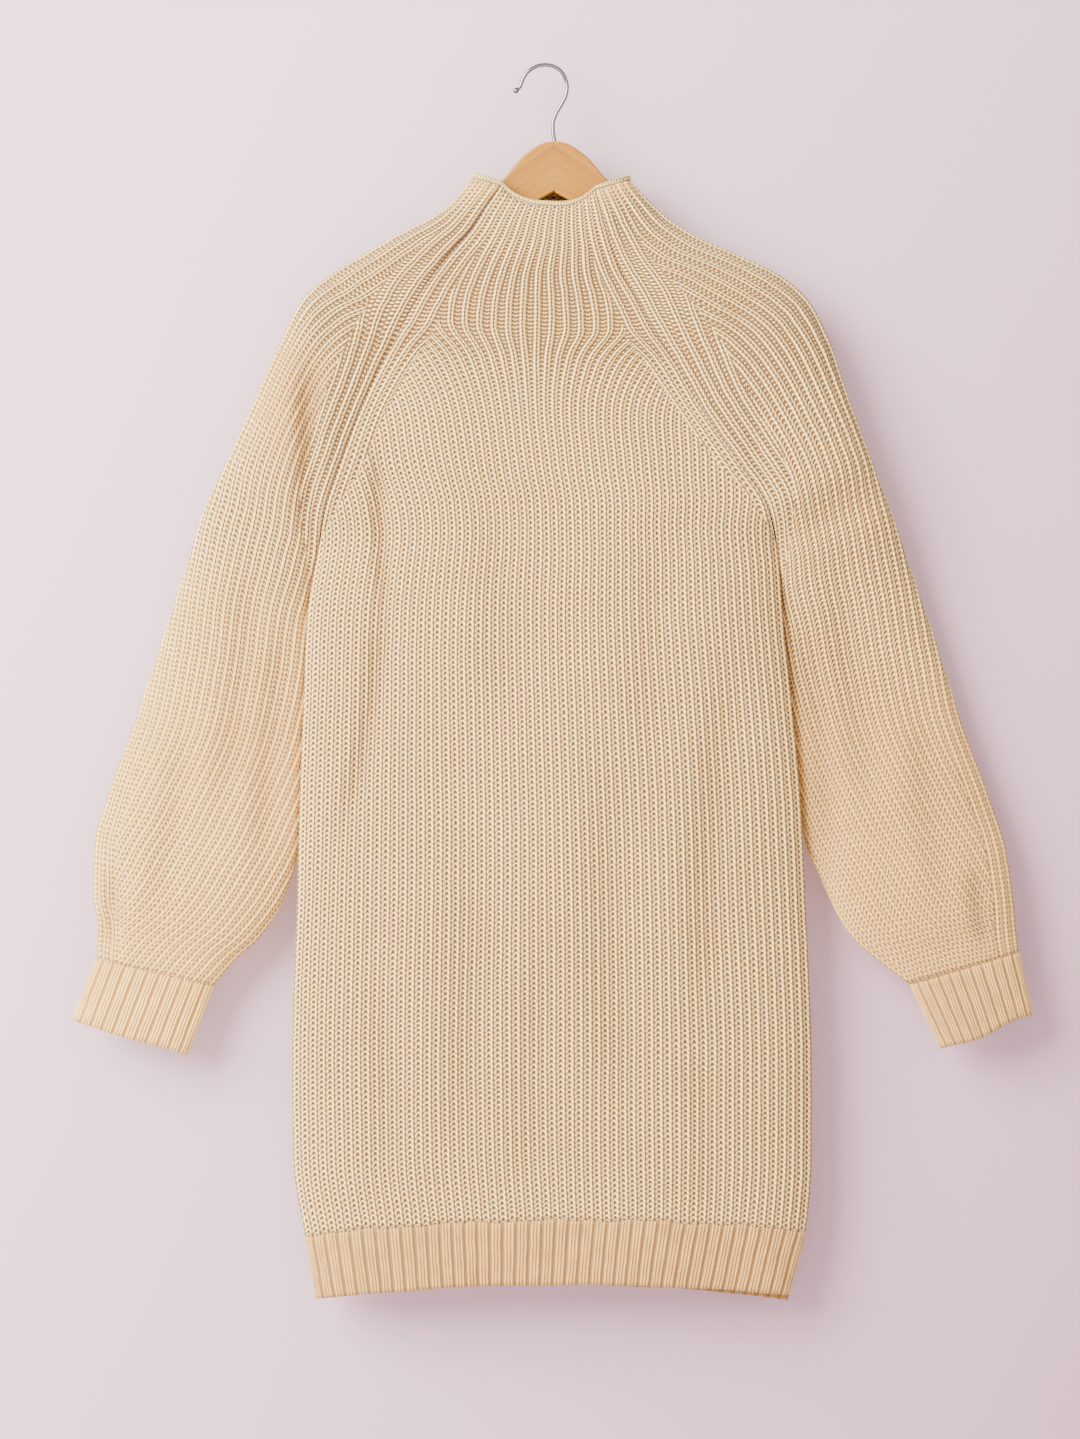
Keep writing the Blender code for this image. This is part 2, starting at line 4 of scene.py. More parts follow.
import bmesh
import bpy
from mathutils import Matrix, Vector


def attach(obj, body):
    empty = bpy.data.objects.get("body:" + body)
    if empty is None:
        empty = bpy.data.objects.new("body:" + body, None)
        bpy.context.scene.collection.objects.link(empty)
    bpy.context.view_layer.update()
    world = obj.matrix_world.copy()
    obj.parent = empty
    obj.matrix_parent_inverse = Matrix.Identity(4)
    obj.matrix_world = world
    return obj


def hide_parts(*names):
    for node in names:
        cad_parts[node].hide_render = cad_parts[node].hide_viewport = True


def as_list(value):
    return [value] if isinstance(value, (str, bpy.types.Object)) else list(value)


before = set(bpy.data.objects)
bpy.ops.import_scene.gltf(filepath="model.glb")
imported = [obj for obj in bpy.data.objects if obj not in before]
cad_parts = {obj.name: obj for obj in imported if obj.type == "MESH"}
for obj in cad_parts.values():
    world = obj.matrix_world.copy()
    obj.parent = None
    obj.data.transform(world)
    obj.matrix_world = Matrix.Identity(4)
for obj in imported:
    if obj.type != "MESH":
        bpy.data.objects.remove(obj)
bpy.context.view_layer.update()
print("frame loaded")

mm = 0.001

# ---- shared helpers


def smoothTable(rows, names):
    # a curve through every column of a table, which never swings past its rows
    columns = list(zip(*rows))
    slopes = []
    for column in columns:
        steps = [b - a for a, b in zip(column, column[1:])]
        inner = [0.0 if a * b <= 0 else 2 * a * b / (a + b) for a, b in zip(steps, steps[1:])]
        slopes.append([steps[0]] + inner + [steps[-1]])

    def at(t):
        i = min(max(int(t), 0), len(rows) - 2)
        f = t - i
        h1, h2 = f * f * (3 - 2 * f), f * (1 - f) ** 2
        h3 = f * f * (f - 1)
        return {name: column[i] * (1 - h1) + column[i + 1] * h1 + slope[i] * h2 + slope[i + 1] * h3
                for name, column, slope in zip(names, columns, slopes)}
    return at


def smoothStep(low, high, value):
    share = min(1.0, max(0.0, (value - low) / (high - low)))
    return share * share * (3 - 2 * share)


def flat(x, z):
    return Vector((x, 0.0, z))


def creaseDepth(creases, x, z):
    # how far the soft troughs push a place in, ridges count as less than nothing
    total = 0.0
    for topX, topZ, lowX, lowZ, bend, depth, width in creases:
        top = flat(topX, topZ)
        line = flat(lowX, lowZ) - top
        offset = flat(x, z) - top
        along = min(1.0, max(0.0, offset.dot(line) / line.length_squared))
        across = offset - line * along
        side = across.x * line.z - across.z * line.x
        reach = math.copysign(across.length, side) + bend * 4 * along * (1 - along)
        ends = smoothStep(0.0, 0.25, along) * smoothStep(1.0, 0.75, along) if 0 < along < 1 else 0.0
        total += depth * (0.25 + 0.75 * ends) * math.exp(-((reach / width) ** 2))
    return total


def ripple(x, z, seed):
    # small unevenness of hand, from a few long waves
    return (math.sin(x * 0.031 + z * 0.017 + seed) * 0.5
            + math.sin(x * 0.013 - z * 0.023 + seed * 2.3) * 0.3
            + math.sin(x * 0.057 + z * 0.041 + seed * 1.7) * 0.2)


class Section:
    # one line across a piece of cloth, which gives a place by its length along it

    def __init__(self, points, chord, outside, ends):
        self.points = points
        self.lengths = [0.0]
        for first, second in zip(points, points[1:]):
            self.lengths.append(self.lengths[-1] + (second - first).length)
        self.total = self.lengths[-1]
        along = chord.cross(Vector((0.0, 1.0, 0.0)))
        self.normals = [(after - before).cross(along).normalized()
                        for before, after in zip([points[0]] + points[:-1], points[1:] + [points[-1]])]
        if self.normals[len(points) // 4].dot(outside) < 0:
            self.normals = [-normal for normal in self.normals]
        self.normals[0], self.normals[-1] = ends

    def at(self, length, lift):
        length = min(self.total, max(0.0, length))
        i = min(max(bisect_right(self.lengths, length) - 1, 0), len(self.lengths) - 2)
        span = self.lengths[i + 1] - self.lengths[i]
        share = (length - self.lengths[i]) / span if span else 0.0
        place = self.points[i].lerp(self.points[i + 1], share)
        return place + self.normals[i].lerp(self.normals[i + 1], share).normalized() * lift


def addPiece(name, mesh, material):
    data = bpy.data.meshes.new(name)
    mesh.to_mesh(data)
    mesh.free()
    data.materials.append(material)
    piece = bpy.data.objects.new(name, data)
    bpy.context.scene.collection.objects.link(piece)
    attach(piece, "root")
    return piece


def tSteps(places, spacing, first, last):
    # numbers between rows, about spacing apart on the cloth
    steps = []
    for i in range(first, last):
        count = max(1, round((places[i + 1] - places[i]).length / spacing))
        steps += [i + k / count for k in range(count)]
    return steps + [float(last)]


def clothMesh(name, columns, rows, place, shellMm, material):
    # a grid whose columns follow the ribs; columns with no room collapse on the piece's edge
    mesh = bmesh.new()
    bmesh.ops.create_grid(mesh, x_segments=len(columns) - 1, y_segments=len(rows) - 1, size=1.0)
    uvLayer = mesh.loops.layers.uv.new("knit")
    pitchLayer = mesh.verts.layers.float.new("pitch")
    shadeLayer = mesh.verts.layers.float.new("shade")
    lines = [place(row, columns) for row in rows]
    knitPlace = {}
    for vert in mesh.verts:
        i = round((vert.co.x + 1) / 2 * (len(columns) - 1))
        j = round((vert.co.y + 1) / 2 * (len(rows) - 1))
        position, u, v, pitch, shade = lines[j][i]
        vert.co = position * mm
        vert[pitchLayer], vert[shadeLayer] = pitch, shade
        knitPlace[vert.index] = (u, v)
    for face in mesh.faces:
        face.smooth = True
        for loop in face.loops:
            loop[uvLayer].uv = knitPlace[loop.vert.index]
    bmesh.ops.remove_doubles(mesh, verts=mesh.verts[:], dist=0.02 * mm)
    bmesh.ops.dissolve_degenerate(mesh, dist=0.005 * mm, edges=mesh.edges[:])
    bmesh.ops.recalc_face_normals(mesh, faces=mesh.faces[:])
    outward = sum(face.calc_area() * face.normal.dot(face.calc_center_median() * Vector((1, 1, 0)))
                  for face in mesh.faces)
    if outward < 0:
        bmesh.ops.reverse_faces(mesh, faces=mesh.faces[:])
    piece = addPiece(name, mesh, material)
    if shellMm:
        shell = piece.modifiers.new("cloth", "SOLIDIFY")
        shell.thickness = shellMm * mm
        shell.offset = -1.0
    print(name, "made,", len(piece.data.polygons), "faces")
    return piece


# ---- camera, light and stage

studio = {
    "middle": (-0.004, -0.522),     # x and z of the middle of the view, in metres
    "viewHeight": 1.151,
    "distance": 4.0,
    "wallY": 0.034,
    "floorZ": -1.32,
    "sensor": 36.0,
    "halfWidth": 3.0,               # of the wall and the floor
    "wallHalf": 1.5,
    "floorHalf": 3.0,
    "wallPaint": ((211, 180, 187), (170, 134, 147)),    # light and dark, as screen values; the dark end is the painted falloff of light
    "floorPaint": ((192, 176, 181), (186, 170, 175)),
    "paintedFalloff": (2.2, -0.5),            # how fast the painted falloff of light darkens the paint to the right and upwards
    "darkest": 0.9,
    "cloud": (1.2, 0.2),            # scale and strength of its slow unevenness
    "paintedGlow": 0.4,                    # painted glow that the wall and the floor give off themselves, lightening the shadows on them
    "lit": (-0.2, 0.0, -0.3),       # the place that the lights point at
    "lights": [                     # place, size and power
        ("keyLight", (-2.9, -2.5, 1.4), 3.6, 890.0),
        ("fillLight", (1.9, -3.2, 0.3), 2.6, 18.0),
        ("floorBounce", (0.0, -2.6, -1.2), 2.2, 4.0),
    ],
    "world": ((0.87, 0.84, 0.85, 1.0), 1.44),
}


def paint(red, green, blue):
    # screen values to the shader's own
    return [((value / 255 + 0.055) / 1.055) ** 2.4 for value in (red, green, blue)] + [1.0]


def makeStage():
    x, z = studio["middle"]
    data = bpy.data.cameras.new("camera")
    data.sensor_fit = "VERTICAL"
    data.sensor_height = studio["sensor"]
    data.lens = studio["sensor"] * studio["distance"] / studio["viewHeight"]
    data.clip_end = 30.0
    camera = bpy.data.objects.new("camera", data)
    camera.location = (x, -studio["distance"], z)
    camera.rotation_euler = (math.pi / 2, 0.0, 0.0)
    bpy.context.scene.collection.objects.link(camera)
    bpy.context.scene.camera = camera
    for name, place, size, power in studio["lights"]:
        light = bpy.data.lights.new(name, "AREA")
        light.shape = "DISK"
        light.size = size
        light.energy = power
        lamp = bpy.data.objects.new(name, light)
        lamp.location = place
        lamp.rotation_euler = (Vector(studio["lit"]) - Vector(place)).to_track_quat("-Z", "Y").to_euler()
        bpy.context.scene.collection.objects.link(lamp)
    world = bpy.data.worlds.new("studio")
    world.use_nodes = True
    world.node_tree.nodes["Background"].inputs["Color"].default_value = studio["world"][0]
    world.node_tree.nodes["Background"].inputs["Strength"].default_value = studio["world"][1]
    bpy.context.scene.world = world
    wallY, floorZ = studio["wallY"], studio["floorZ"]
    wallHalf, floorHalf = studio["wallHalf"], studio["floorHalf"]
    for name, material, place, turn, half in (
            ("wall", stageMaterial("wallPaint", True), (wallY, floorZ + wallHalf), math.pi / 2, wallHalf),
            ("floor", stageMaterial("floorPaint", False), (wallY - floorHalf, floorZ), 0.0, floorHalf)):
        mesh = bmesh.new()
        bmesh.ops.create_grid(mesh, x_segments=1, y_segments=1, size=1.0)
        data = bpy.data.meshes.new(name)
        mesh.to_mesh(data)
        mesh.free()
        data.materials.append(material)
        plane = bpy.data.objects.new(name, data)
        plane.location = (0.0, *place)
        plane.rotation_euler = (turn, 0.0, 0.0)
        plane.scale = (studio["halfWidth"], half, 1.0)
        bpy.context.scene.collection.objects.link(plane)


# ---- materials


class Wiring:
    # short calls for the nodes of one tree

    def __init__(self, tree):
        self.tree = tree

    def add(self, kind, **settings):
        node = self.tree.nodes.new(kind)
        for key, value in settings.items():
            setattr(node, key, value)
        return node

    def plug(self, socket, value):
        if isinstance(value, bpy.types.NodeSocket):
            self.tree.links.new(value, socket)
        else:
            socket.default_value = value

    def calc(self, operation, *values):
        node = self.add("ShaderNodeMath", operation=operation)
        for socket, value in zip(node.inputs, values):
            self.plug(socket, value)
        return node.outputs[0]

    def hill(self, value, width):
        # one at nothing, and soft towards nothing past the width
        share = self.calc("DIVIDE", value, width)
        return self.calc("EXPONENT", self.calc("MULTIPLY", self.calc("MULTIPLY", share, share), -1.0))

    def wave(self, turns):
        # one at whole numbers and nothing at halves
        cosine = self.calc("COSINE", self.calc("MULTIPLY", turns, math.tau))
        return self.calc("MULTIPLY_ADD", cosine, 0.5, 0.5)

    def ramp(self, value, low, high, fromValue=0.0, toValue=1.0):
        node = self.add("ShaderNodeMapRange", interpolation_type="SMOOTHSTEP")
        for socket, entry in zip(node.inputs, (value, low, high, fromValue, toValue)):
            self.plug(socket, entry)
        return node.outputs[0]

    def noise(self, vector, scale, detail=2.0):
        node = self.add("ShaderNodeTexNoise")
        self.plug(node.inputs["Vector"], vector)
        node.inputs["Scale"].default_value = scale
        node.inputs["Detail"].default_value = detail
        return node.outputs["Fac"]

    def tones(self, value, stops):
        node = self.add("ShaderNodeValToRGB")
        while len(node.color_ramp.elements) < len(stops):
            node.color_ramp.elements.new(0.5)
        for element, (place, colour) in zip(node.color_ramp.elements, stops):
            element.position = place
            element.color = colour
        self.plug(node.inputs["Fac"], value)
        return node.outputs["Color"]

    def about(self, value, middle, strength, base):
        # the value's distance from its middle, in the given strength, on top of a base
        return self.calc("MULTIPLY_ADD", self.calc("SUBTRACT", value, middle), strength, base)

    def bump(self, height, distance):
        node = self.add("ShaderNodeBump")
        node.inputs["Strength"].default_value = 1.0
        node.inputs["Distance"].default_value = distance
        self.plug(node.inputs["Height"], height)
        return node.outputs["Normal"]


def newMaterial(name, **settings):
    material = bpy.data.materials.new(name)
    material.use_nodes = True
    wiring = Wiring(material.node_tree)
    shader = material.node_tree.nodes["Principled BSDF"]
    for key, value in settings.items():
        shader.inputs[key].default_value = value
    return material, wiring, shader.inputs


def newGroup(name, inputs, outputs):
    tree = bpy.data.node_groups.new(name, "ShaderNodeTree")
    for label in inputs:
        tree.interface.new_socket(label, in_out="INPUT", socket_type="NodeSocketFloat")
    for label in outputs:
        tree.interface.new_socket(label, in_out="OUTPUT", socket_type="NodeSocketFloat")
    wiring = Wiring(tree)
    entry = wiring.add("NodeGroupInput").outputs
    result = wiring.add("NodeGroupOutput").inputs
    return tree, wiring, entry, result


def stageMaterial(name, seenFromFront):
    # painted falloff of light: the colour darkens softly to the right and downwards
    material, wiring, sockets = newMaterial(name, Roughness=0.9)
    place = wiring.add("ShaderNodeTexCoord").outputs["Object"]
    split = wiring.add("ShaderNodeSeparateXYZ")
    wiring.plug(split.inputs[0], place)
    right, up = studio["paintedFalloff"]
    scale, strength = studio["cloud"]
    paintedFalloff = wiring.calc("MULTIPLY_ADD", split.outputs["Y"], up,
                       wiring.calc("MULTIPLY", split.outputs["X"], right))
    paintedFalloff = wiring.calc("MULTIPLY_ADD", wiring.noise(place, scale), strength, paintedFalloff)
    light, dark = (paint(*colour) for colour in studio[name])
    colour = wiring.tones(paintedFalloff, [(0.0, light), (studio["darkest"], dark)])
    wiring.plug(sockets["Base Color"], colour)
    # painted glow: the same colour is given off as light
    wiring.plug(sockets["Emission Color"], colour)
    sockets["Emission Strength"].default_value = studio["paintedGlow"]
    if seenFromFront:
        # seen only from its front, and no hindrance to the light from behind
        back = wiring.add("ShaderNodeNewGeometry").outputs["Backfacing"]
        seen = wiring.add("ShaderNodeLightPath").outputs["Is Camera Ray"]
        wiring.plug(sockets["Alpha"], wiring.calc("MULTIPLY", seen, wiring.calc("SUBTRACT", 1.0, back)))
    return material


knitLook = {
    "widePitch": (8.0, 12.0),               # in millimetres: pairs are for narrower and wider ribs
    "legPlace": (1.75, 1.5), "legWidth": 0.7,       # the two strands of a wale
    "legWander": 1.15, "legSlope": 0.3,
    "legBeads": (0.95, 0.15),               # how much of a strand swells, and how much is even
    "splitWidth": 0.62, "splitBeads": (0.75, 0.25),
    "purlEdge": (2.0, 2.7),
    "dotPlace": 3.2, "dotWidth": (1.4, 1.1), "dotHeight": (0.25, 0.2875), "dotSlope": 0.24,
    "dotReach": 2.4, "dotPurl": (0.7, 0.3),
    "middleWidth": 1.1, "middlePitch": (9.0, 12.0), "middleShare": 0.5,
    "barSlope": 0.05,
    "heights": {"leg": 0.55, "bar": 0.25, "split": -0.45, "dot": -0.7},
    "ground": 0.56,                         # tone of plain yarn
    # painted light and shade of the knit: lighter strands and bars, painted shade in the splits and the
    # holes
    "legHighlight": (0.58, 0.42), "barLightAndShade": (0.6, 0.75), "splitShade": -1.3, "holeShade": (-0.76, -1.25),
    # tone to colour: the low stops carry the painted shade and the high ones the painted highlights
    "stops": [(0.0, (96, 69, 34)), (0.25, (156, 114, 57)), (0.5, (212, 156, 74)),
              (0.75, (255, 205, 108)), (1.0, (255, 239, 164))],
    "bump": 0.0012,
}
ribLook = {
    "wales": 3, "share": 0.78, "groove": (0.38, 0.47), "edgePlace": 0.27, "edgeWidth": 0.07,
    "bump": 0.0006,
    "uneven": (1.3, 0.12), "grooveWander": 0.16,
    # painted highlights on the fine wales, stitches and rib edges, painted shade in the groove
    "ground": 0.4, "waleHighlight": 0.26, "stitchHighlight": 0.1, "stitchSlope": 3.0,
    "edgeHighlight": 0.06, "unevenTone": 0.35, "grooveShade": -0.3,
}
yarn = {
    "middle": 0.55,                         # the tone that contrast turns about
    "crispPitch": (6.8, 9.0),               # narrow ribs take the first contrast, wide ones the second
    "stray": (70.0, 0.16), "drift": (38.0, 1.4), "fuzz": (1100.0, 0.22), "slow": (14.0, 0.16),
    "fuzzHeight": 0.16,
    # painted shade: how far the shade attribute darkens the colour
    "shade": -0.3,
}


def knitRelief():
    # a wale of two strands in each rib, and purl bars with small holes between the wales; the Tone is
    # painted light and shade: highlights on the strands, lighter and darker purl bars, and painted shade in
    # the splits and the holes
    tree, w, entry, result = newGroup("knitRelief", ("Rib", "Course", "Pitch", "Lean"), ("Height", "Tone"))
    look = knitLook
    heights = look["heights"]
    pitch = entry["Pitch"]
    half = w.calc("MULTIPLY", pitch, 0.5)
    tight = w.calc("MINIMUM", w.calc("DIVIDE", pitch, 7.0), 1.0)

    def widening(key):
        return w.ramp(pitch, *look["widePitch"], *look[key])

    across = w.calc("MULTIPLY", w.calc("SUBTRACT", w.calc("FRACT", entry["Rib"]), 0.5), pitch)
    away = w.calc("ABSOLUTE", across)
    level = w.calc("MULTIPLY_ADD", across, entry["Lean"], entry["Course"])
    beads = w.wave(level)
    place = widening("legPlace")
    wander = w.calc("MULTIPLY", w.calc("SUBTRACT", beads, 0.5), look["legWander"])
    leg = w.hill(w.calc("SUBTRACT", away, w.calc("MULTIPLY", tight, w.calc("ADD", place, wander))),
                 w.calc("MULTIPLY", tight, look["legWidth"]))
    chain = w.wave(w.calc("MULTIPLY_ADD", away, look["legSlope"], level))
    leg = w.calc("MULTIPLY", leg, w.calc("MULTIPLY_ADD", chain, *look["legBeads"]))
    split = w.hill(away, w.calc("MULTIPLY", tight, look["splitWidth"]))
    split = w.calc("MULTIPLY", split, w.calc("MULTIPLY_ADD", beads, *look["splitBeads"]))
    purl = w.ramp(w.calc("DIVIDE", away, tight), *look["purlEdge"])
    reach = w.calc("MINIMUM", w.calc("SUBTRACT", half, away), look["dotReach"])
    slope = w.calc("MULTIPLY", reach, -look["dotSlope"])
    rise = w.calc("SUBTRACT", w.calc("FRACT", w.calc("ADD", level, slope)), 0.5)
    hole = w.hill(w.calc("SUBTRACT", away, w.calc("MINIMUM", look["dotPlace"], half)), widening("dotWidth"))
    middle = w.calc("MULTIPLY", w.hill(w.calc("SUBTRACT", away, half), look["middleWidth"]),
                    w.ramp(pitch, *look["middlePitch"], 0.0, look["middleShare"]))
    dot = w.calc("MULTIPLY", w.calc("MAXIMUM", hole, middle), w.hill(rise, widening("dotHeight")))
    dot = w.calc("MULTIPLY", dot, w.calc("MULTIPLY_ADD", purl, *look["dotPurl"]))
    bars = w.wave(w.calc("MULTIPLY_ADD", away, look["barSlope"], level))
    bar = w.calc("MULTIPLY", w.calc("SUBTRACT", bars, 0.5), purl)
    height = w.calc("MULTIPLY_ADD", leg, heights["leg"], w.calc("MULTIPLY", bar, heights["bar"]))
    height = w.calc("MULTIPLY_ADD", split, heights["split"], height)
    w.plug(result["Height"], w.calc("MULTIPLY_ADD", dot, heights["dot"], height))
    # painted light and shade in the tone
    tone = w.calc("MULTIPLY_ADD", leg, widening("legHighlight"), look["ground"])
    tone = w.calc("MULTIPLY_ADD", bar, widening("barLightAndShade"), tone)
    tone = w.calc("MULTIPLY_ADD", split, look["splitShade"], tone)
    w.plug(result["Tone"], w.calc("MULTIPLY_ADD", dot, widening("holeShade"), tone))
    return tree


def ribRelief():
    # fine wales of small stitches along a broad rib, and the narrow groove beside it; the Tone is painted
    # highlights on the wales, stitches and rib edges, painted shade in the groove, and random unevenness
    tree, w, entry, result = newGroup("ribRelief", ("Rib", "Course", "Pitch", "Lean"), ("Height", "Tone"))
    look = ribLook
    across = w.calc("SUBTRACT", w.calc("FRACT", entry["Rib"]), 0.5)
    away = w.calc("ABSOLUTE", across)
    scale, stretch = look["uneven"]
    spot = w.add("ShaderNodeCombineXYZ")
    w.plug(spot.inputs[0], entry["Rib"])
    w.plug(spot.inputs[1], w.calc("MULTIPLY", entry["Course"], stretch))
    uneven = w.noise(spot.outputs[0], scale, 3.0)
    wale = w.wave(w.calc("MULTIPLY", across, look["wales"] / look["share"]))
    groove = w.ramp(w.about(uneven, 0.5, look["grooveWander"], away), *look["groove"])
    w.plug(result["Height"], w.calc("MULTIPLY", wale, w.calc("SUBTRACT", 1.0, groove)))
    edge = w.hill(w.calc("SUBTRACT", away, look["edgePlace"]), look["edgeWidth"])
    stitches = w.wave(w.calc("MULTIPLY_ADD", away, look["stitchSlope"], entry["Course"]))
    # painted light and shade in the tone, with random unevenness
    tone = w.calc("MULTIPLY_ADD", wale, look["waleHighlight"], look["ground"])
    tone = w.calc("MULTIPLY_ADD", stitches, look["stitchHighlight"], tone)
    tone = w.calc("MULTIPLY_ADD", edge, look["edgeHighlight"], tone)
    tone = w.about(uneven, 0.5, look["unevenTone"], tone)
    w.plug(result["Tone"], w.calc("MULTIPLY_ADD", groove, look["grooveShade"], tone))
    return tree


def woolMaterial(name, relief, look, lean=0.0, contrast=(1.0, 1.0)):
    # the knit pattern with its painted light and shade, a fine fuzz over it, the slow unevenness of
    # hand-dyed yarn, and the painted shade and light of the shade attribute
    material, w, sockets = newMaterial(name, **{
        "Roughness": 0.88, "Sheen Weight": 0.35, "Sheen Roughness": 0.6, "Specular IOR Level": 0.25})
    sockets["Sheen Tint"].default_value = paint(255, 240, 215)
    place = w.add("ShaderNodeTexCoord").outputs["Object"]
    uv = w.add("ShaderNodeSeparateXYZ")
    w.plug(uv.inputs[0], w.add("ShaderNodeUVMap", uv_map="knit").outputs[0])
    pattern = w.add("ShaderNodeGroup", node_tree=relief)
    for socket, key, source in (("Rib", "stray", "X"), ("Course", "drift", "Y")):
        scale, strength = yarn[key]
        w.plug(pattern.inputs[socket], w.about(w.noise(place, scale), 0.5, strength, uv.outputs[source]))
    pattern.inputs["Lean"].default_value = lean
    pitch = w.add("ShaderNodeAttribute", attribute_name="pitch").outputs["Fac"]
    w.plug(pattern.inputs["Pitch"], pitch)
    shade = w.add("ShaderNodeAttribute", attribute_name="shade").outputs["Fac"]
    fuzz = w.noise(place, yarn["fuzz"][0], 3.0)
    slow = w.noise(place, yarn["slow"][0], 3.0)
    # the painted light and shade of the pattern, stronger on wide ribs
    crisp = w.ramp(pitch, *yarn["crispPitch"], *contrast)
    tone = w.about(pattern.outputs["Tone"], yarn["middle"], crisp, yarn["middle"])
    tone = w.about(fuzz, 0.5, yarn["fuzz"][1], tone)
    tone = w.about(slow, 0.5, yarn["slow"][1], tone)
    # painted shade and light carried by the shade attribute
    tone = w.calc("MULTIPLY_ADD", shade, yarn["shade"], tone)
    w.plug(sockets["Base Color"], w.tones(tone, [(at, paint(*rgb)) for at, rgb in knitLook["stops"]]))
    height = w.calc("MULTIPLY_ADD", fuzz, yarn["fuzzHeight"], pattern.outputs["Height"])
    w.plug(sockets["Normal"], w.bump(height, look["bump"]))
    return material


makeStage()
print("stage made")

# ---- the cut of the dress: rows from the neck to the hem seam, in millimetres

dress = {
    "shell": 1.5,           # thickness of the cloth that shows
    "spacing": 5.0,         # between two rows of the mesh
    "ribRaise": 1.35,
    "sleeveRaise": 0.9,
    "waleHalf": 2.2,        # half width of the raised wale
    "purlRaise": 0.12,      # the small wave of the plain courses
    "ribPitch": 7.4,        # where a row has no fashioning wales
    "ribWander": 0.5,
    "bandRaise": 0.8,
    "seamHalf": 0.05,
    "bandGap": 0.1,
    "endRaise": 0.4,        # share of the height that the wales keep at the hem and the cuffs
    "foldDepth": 1.6,
    "foldReach": 1.4,       # how far from the seam the cloth is drawn in
    # painted shade where the left neck seam is drawn in, and painted light along each seam
    "foldShade": 1.6,
    "seamShade": -0.6,
    # painted shade in the soft troughs
    "troughShade": 0.13,
    "sleeveShade": {"left": -0.35, "right": 0.1},       # painted light on the left sleeve and painted shade on the right, below the shoulders
    "outerWales": 3.0,      # wales that follow the outer fold of a sleeve
    "lensPower": 2.5,
    "shoulderPower": 3.0,
    "samples": 48,
}
columnNames = ("leftX", "leftZ", "rightX", "rightZ", "frontDip", "backDip", "depth", "seam",
               "round", "ribs", "bandRibs", "bandShare", "course")
panelTable = [
    (-35, -96.5, 40.3, -100.5, 14.5, -1, 15.5, 14.5, 0, 5, 2, 0.286, 3.3),
    (-46, -112, 45, -117, 12, 1, 17.5, 16, 0, 5, 2, 0.286, 3.2),
    (-58, -131, 51, -138, 8.5, 2, 19.5, 17.5, 0, 5, 2, 0.286, 3.1),
    (-78, -154, 60, -162, 6, 3, 21, 19, 0, 5.4, 2, 0.27, 3.1),
    (-96, -178, 74, -186, 5, 4, 22, 19.5, 0, 5.7, 2, 0.26, 3.1),
    (-110, -202, 87, -210, 5, 5, 23, 20, 0, 6.4, 2, 0.25, 3.1),
    (-127, -234, 105, -239, 3, 3, 23.5, 20, 0.1, 11.2, 2.8, 0.2, 3.4),
    (-145, -272, 126, -276, 2, 2, 24, 21, 0, 17, 3, 0.15, 3.7),
    (-163, -319, 154, -316, 0, 0, 24.5, 20.5, 0.1, 21.6, 2.4, 0.11, 4.1),
    (-175, -354, 178, -353, 0, 0, 25, 17, 0.4, 26.6, 1.2, 0.05, 4.2),
    (-182, -391, 186, -390, 0, 0, 25, 0, 1, 30, 0, 0, 4.3),
    (-190, -442, 190, -442, 0, 0, 25, 0, 1, 30, 0, 0, 4.3),
    (-193, -510, 197, -510, 0, 0, 25, 0, 1, 30, 0, 0, 4.3),
    (-196, -586, 204, -586, -1, -1, 25, 0, 1, 30, 0, 0, 4.3),
    (-198, -666, 208, -666, -2, -2, 25, 0, 1, 30, 0, 0, 4.3),
    (-202, -794, 213, -794, -6, -6, 25, 0, 1, 30, 0, 0, 4.3),
    (-201, -874, 213, -874, -9, -9, 24.5, 0, 1, 30, 0, 0, 4.3),
    (-192, -934, 209, -930, -12, -12, 24, 0, 1, 30, 0, 0, 4.3),
]
armpitRow = 10
panelAt = smoothTable(panelTable, columnNames)
hemBottoms = {
    -1: (-183, -985, 195, -982, -12, -12, 23, 0, 1, 27, 0, 0, 3),
    1: (-183, -985, 194, -987, -12, -10, 23, 0, 1, 27, 0, 0, 3),
}

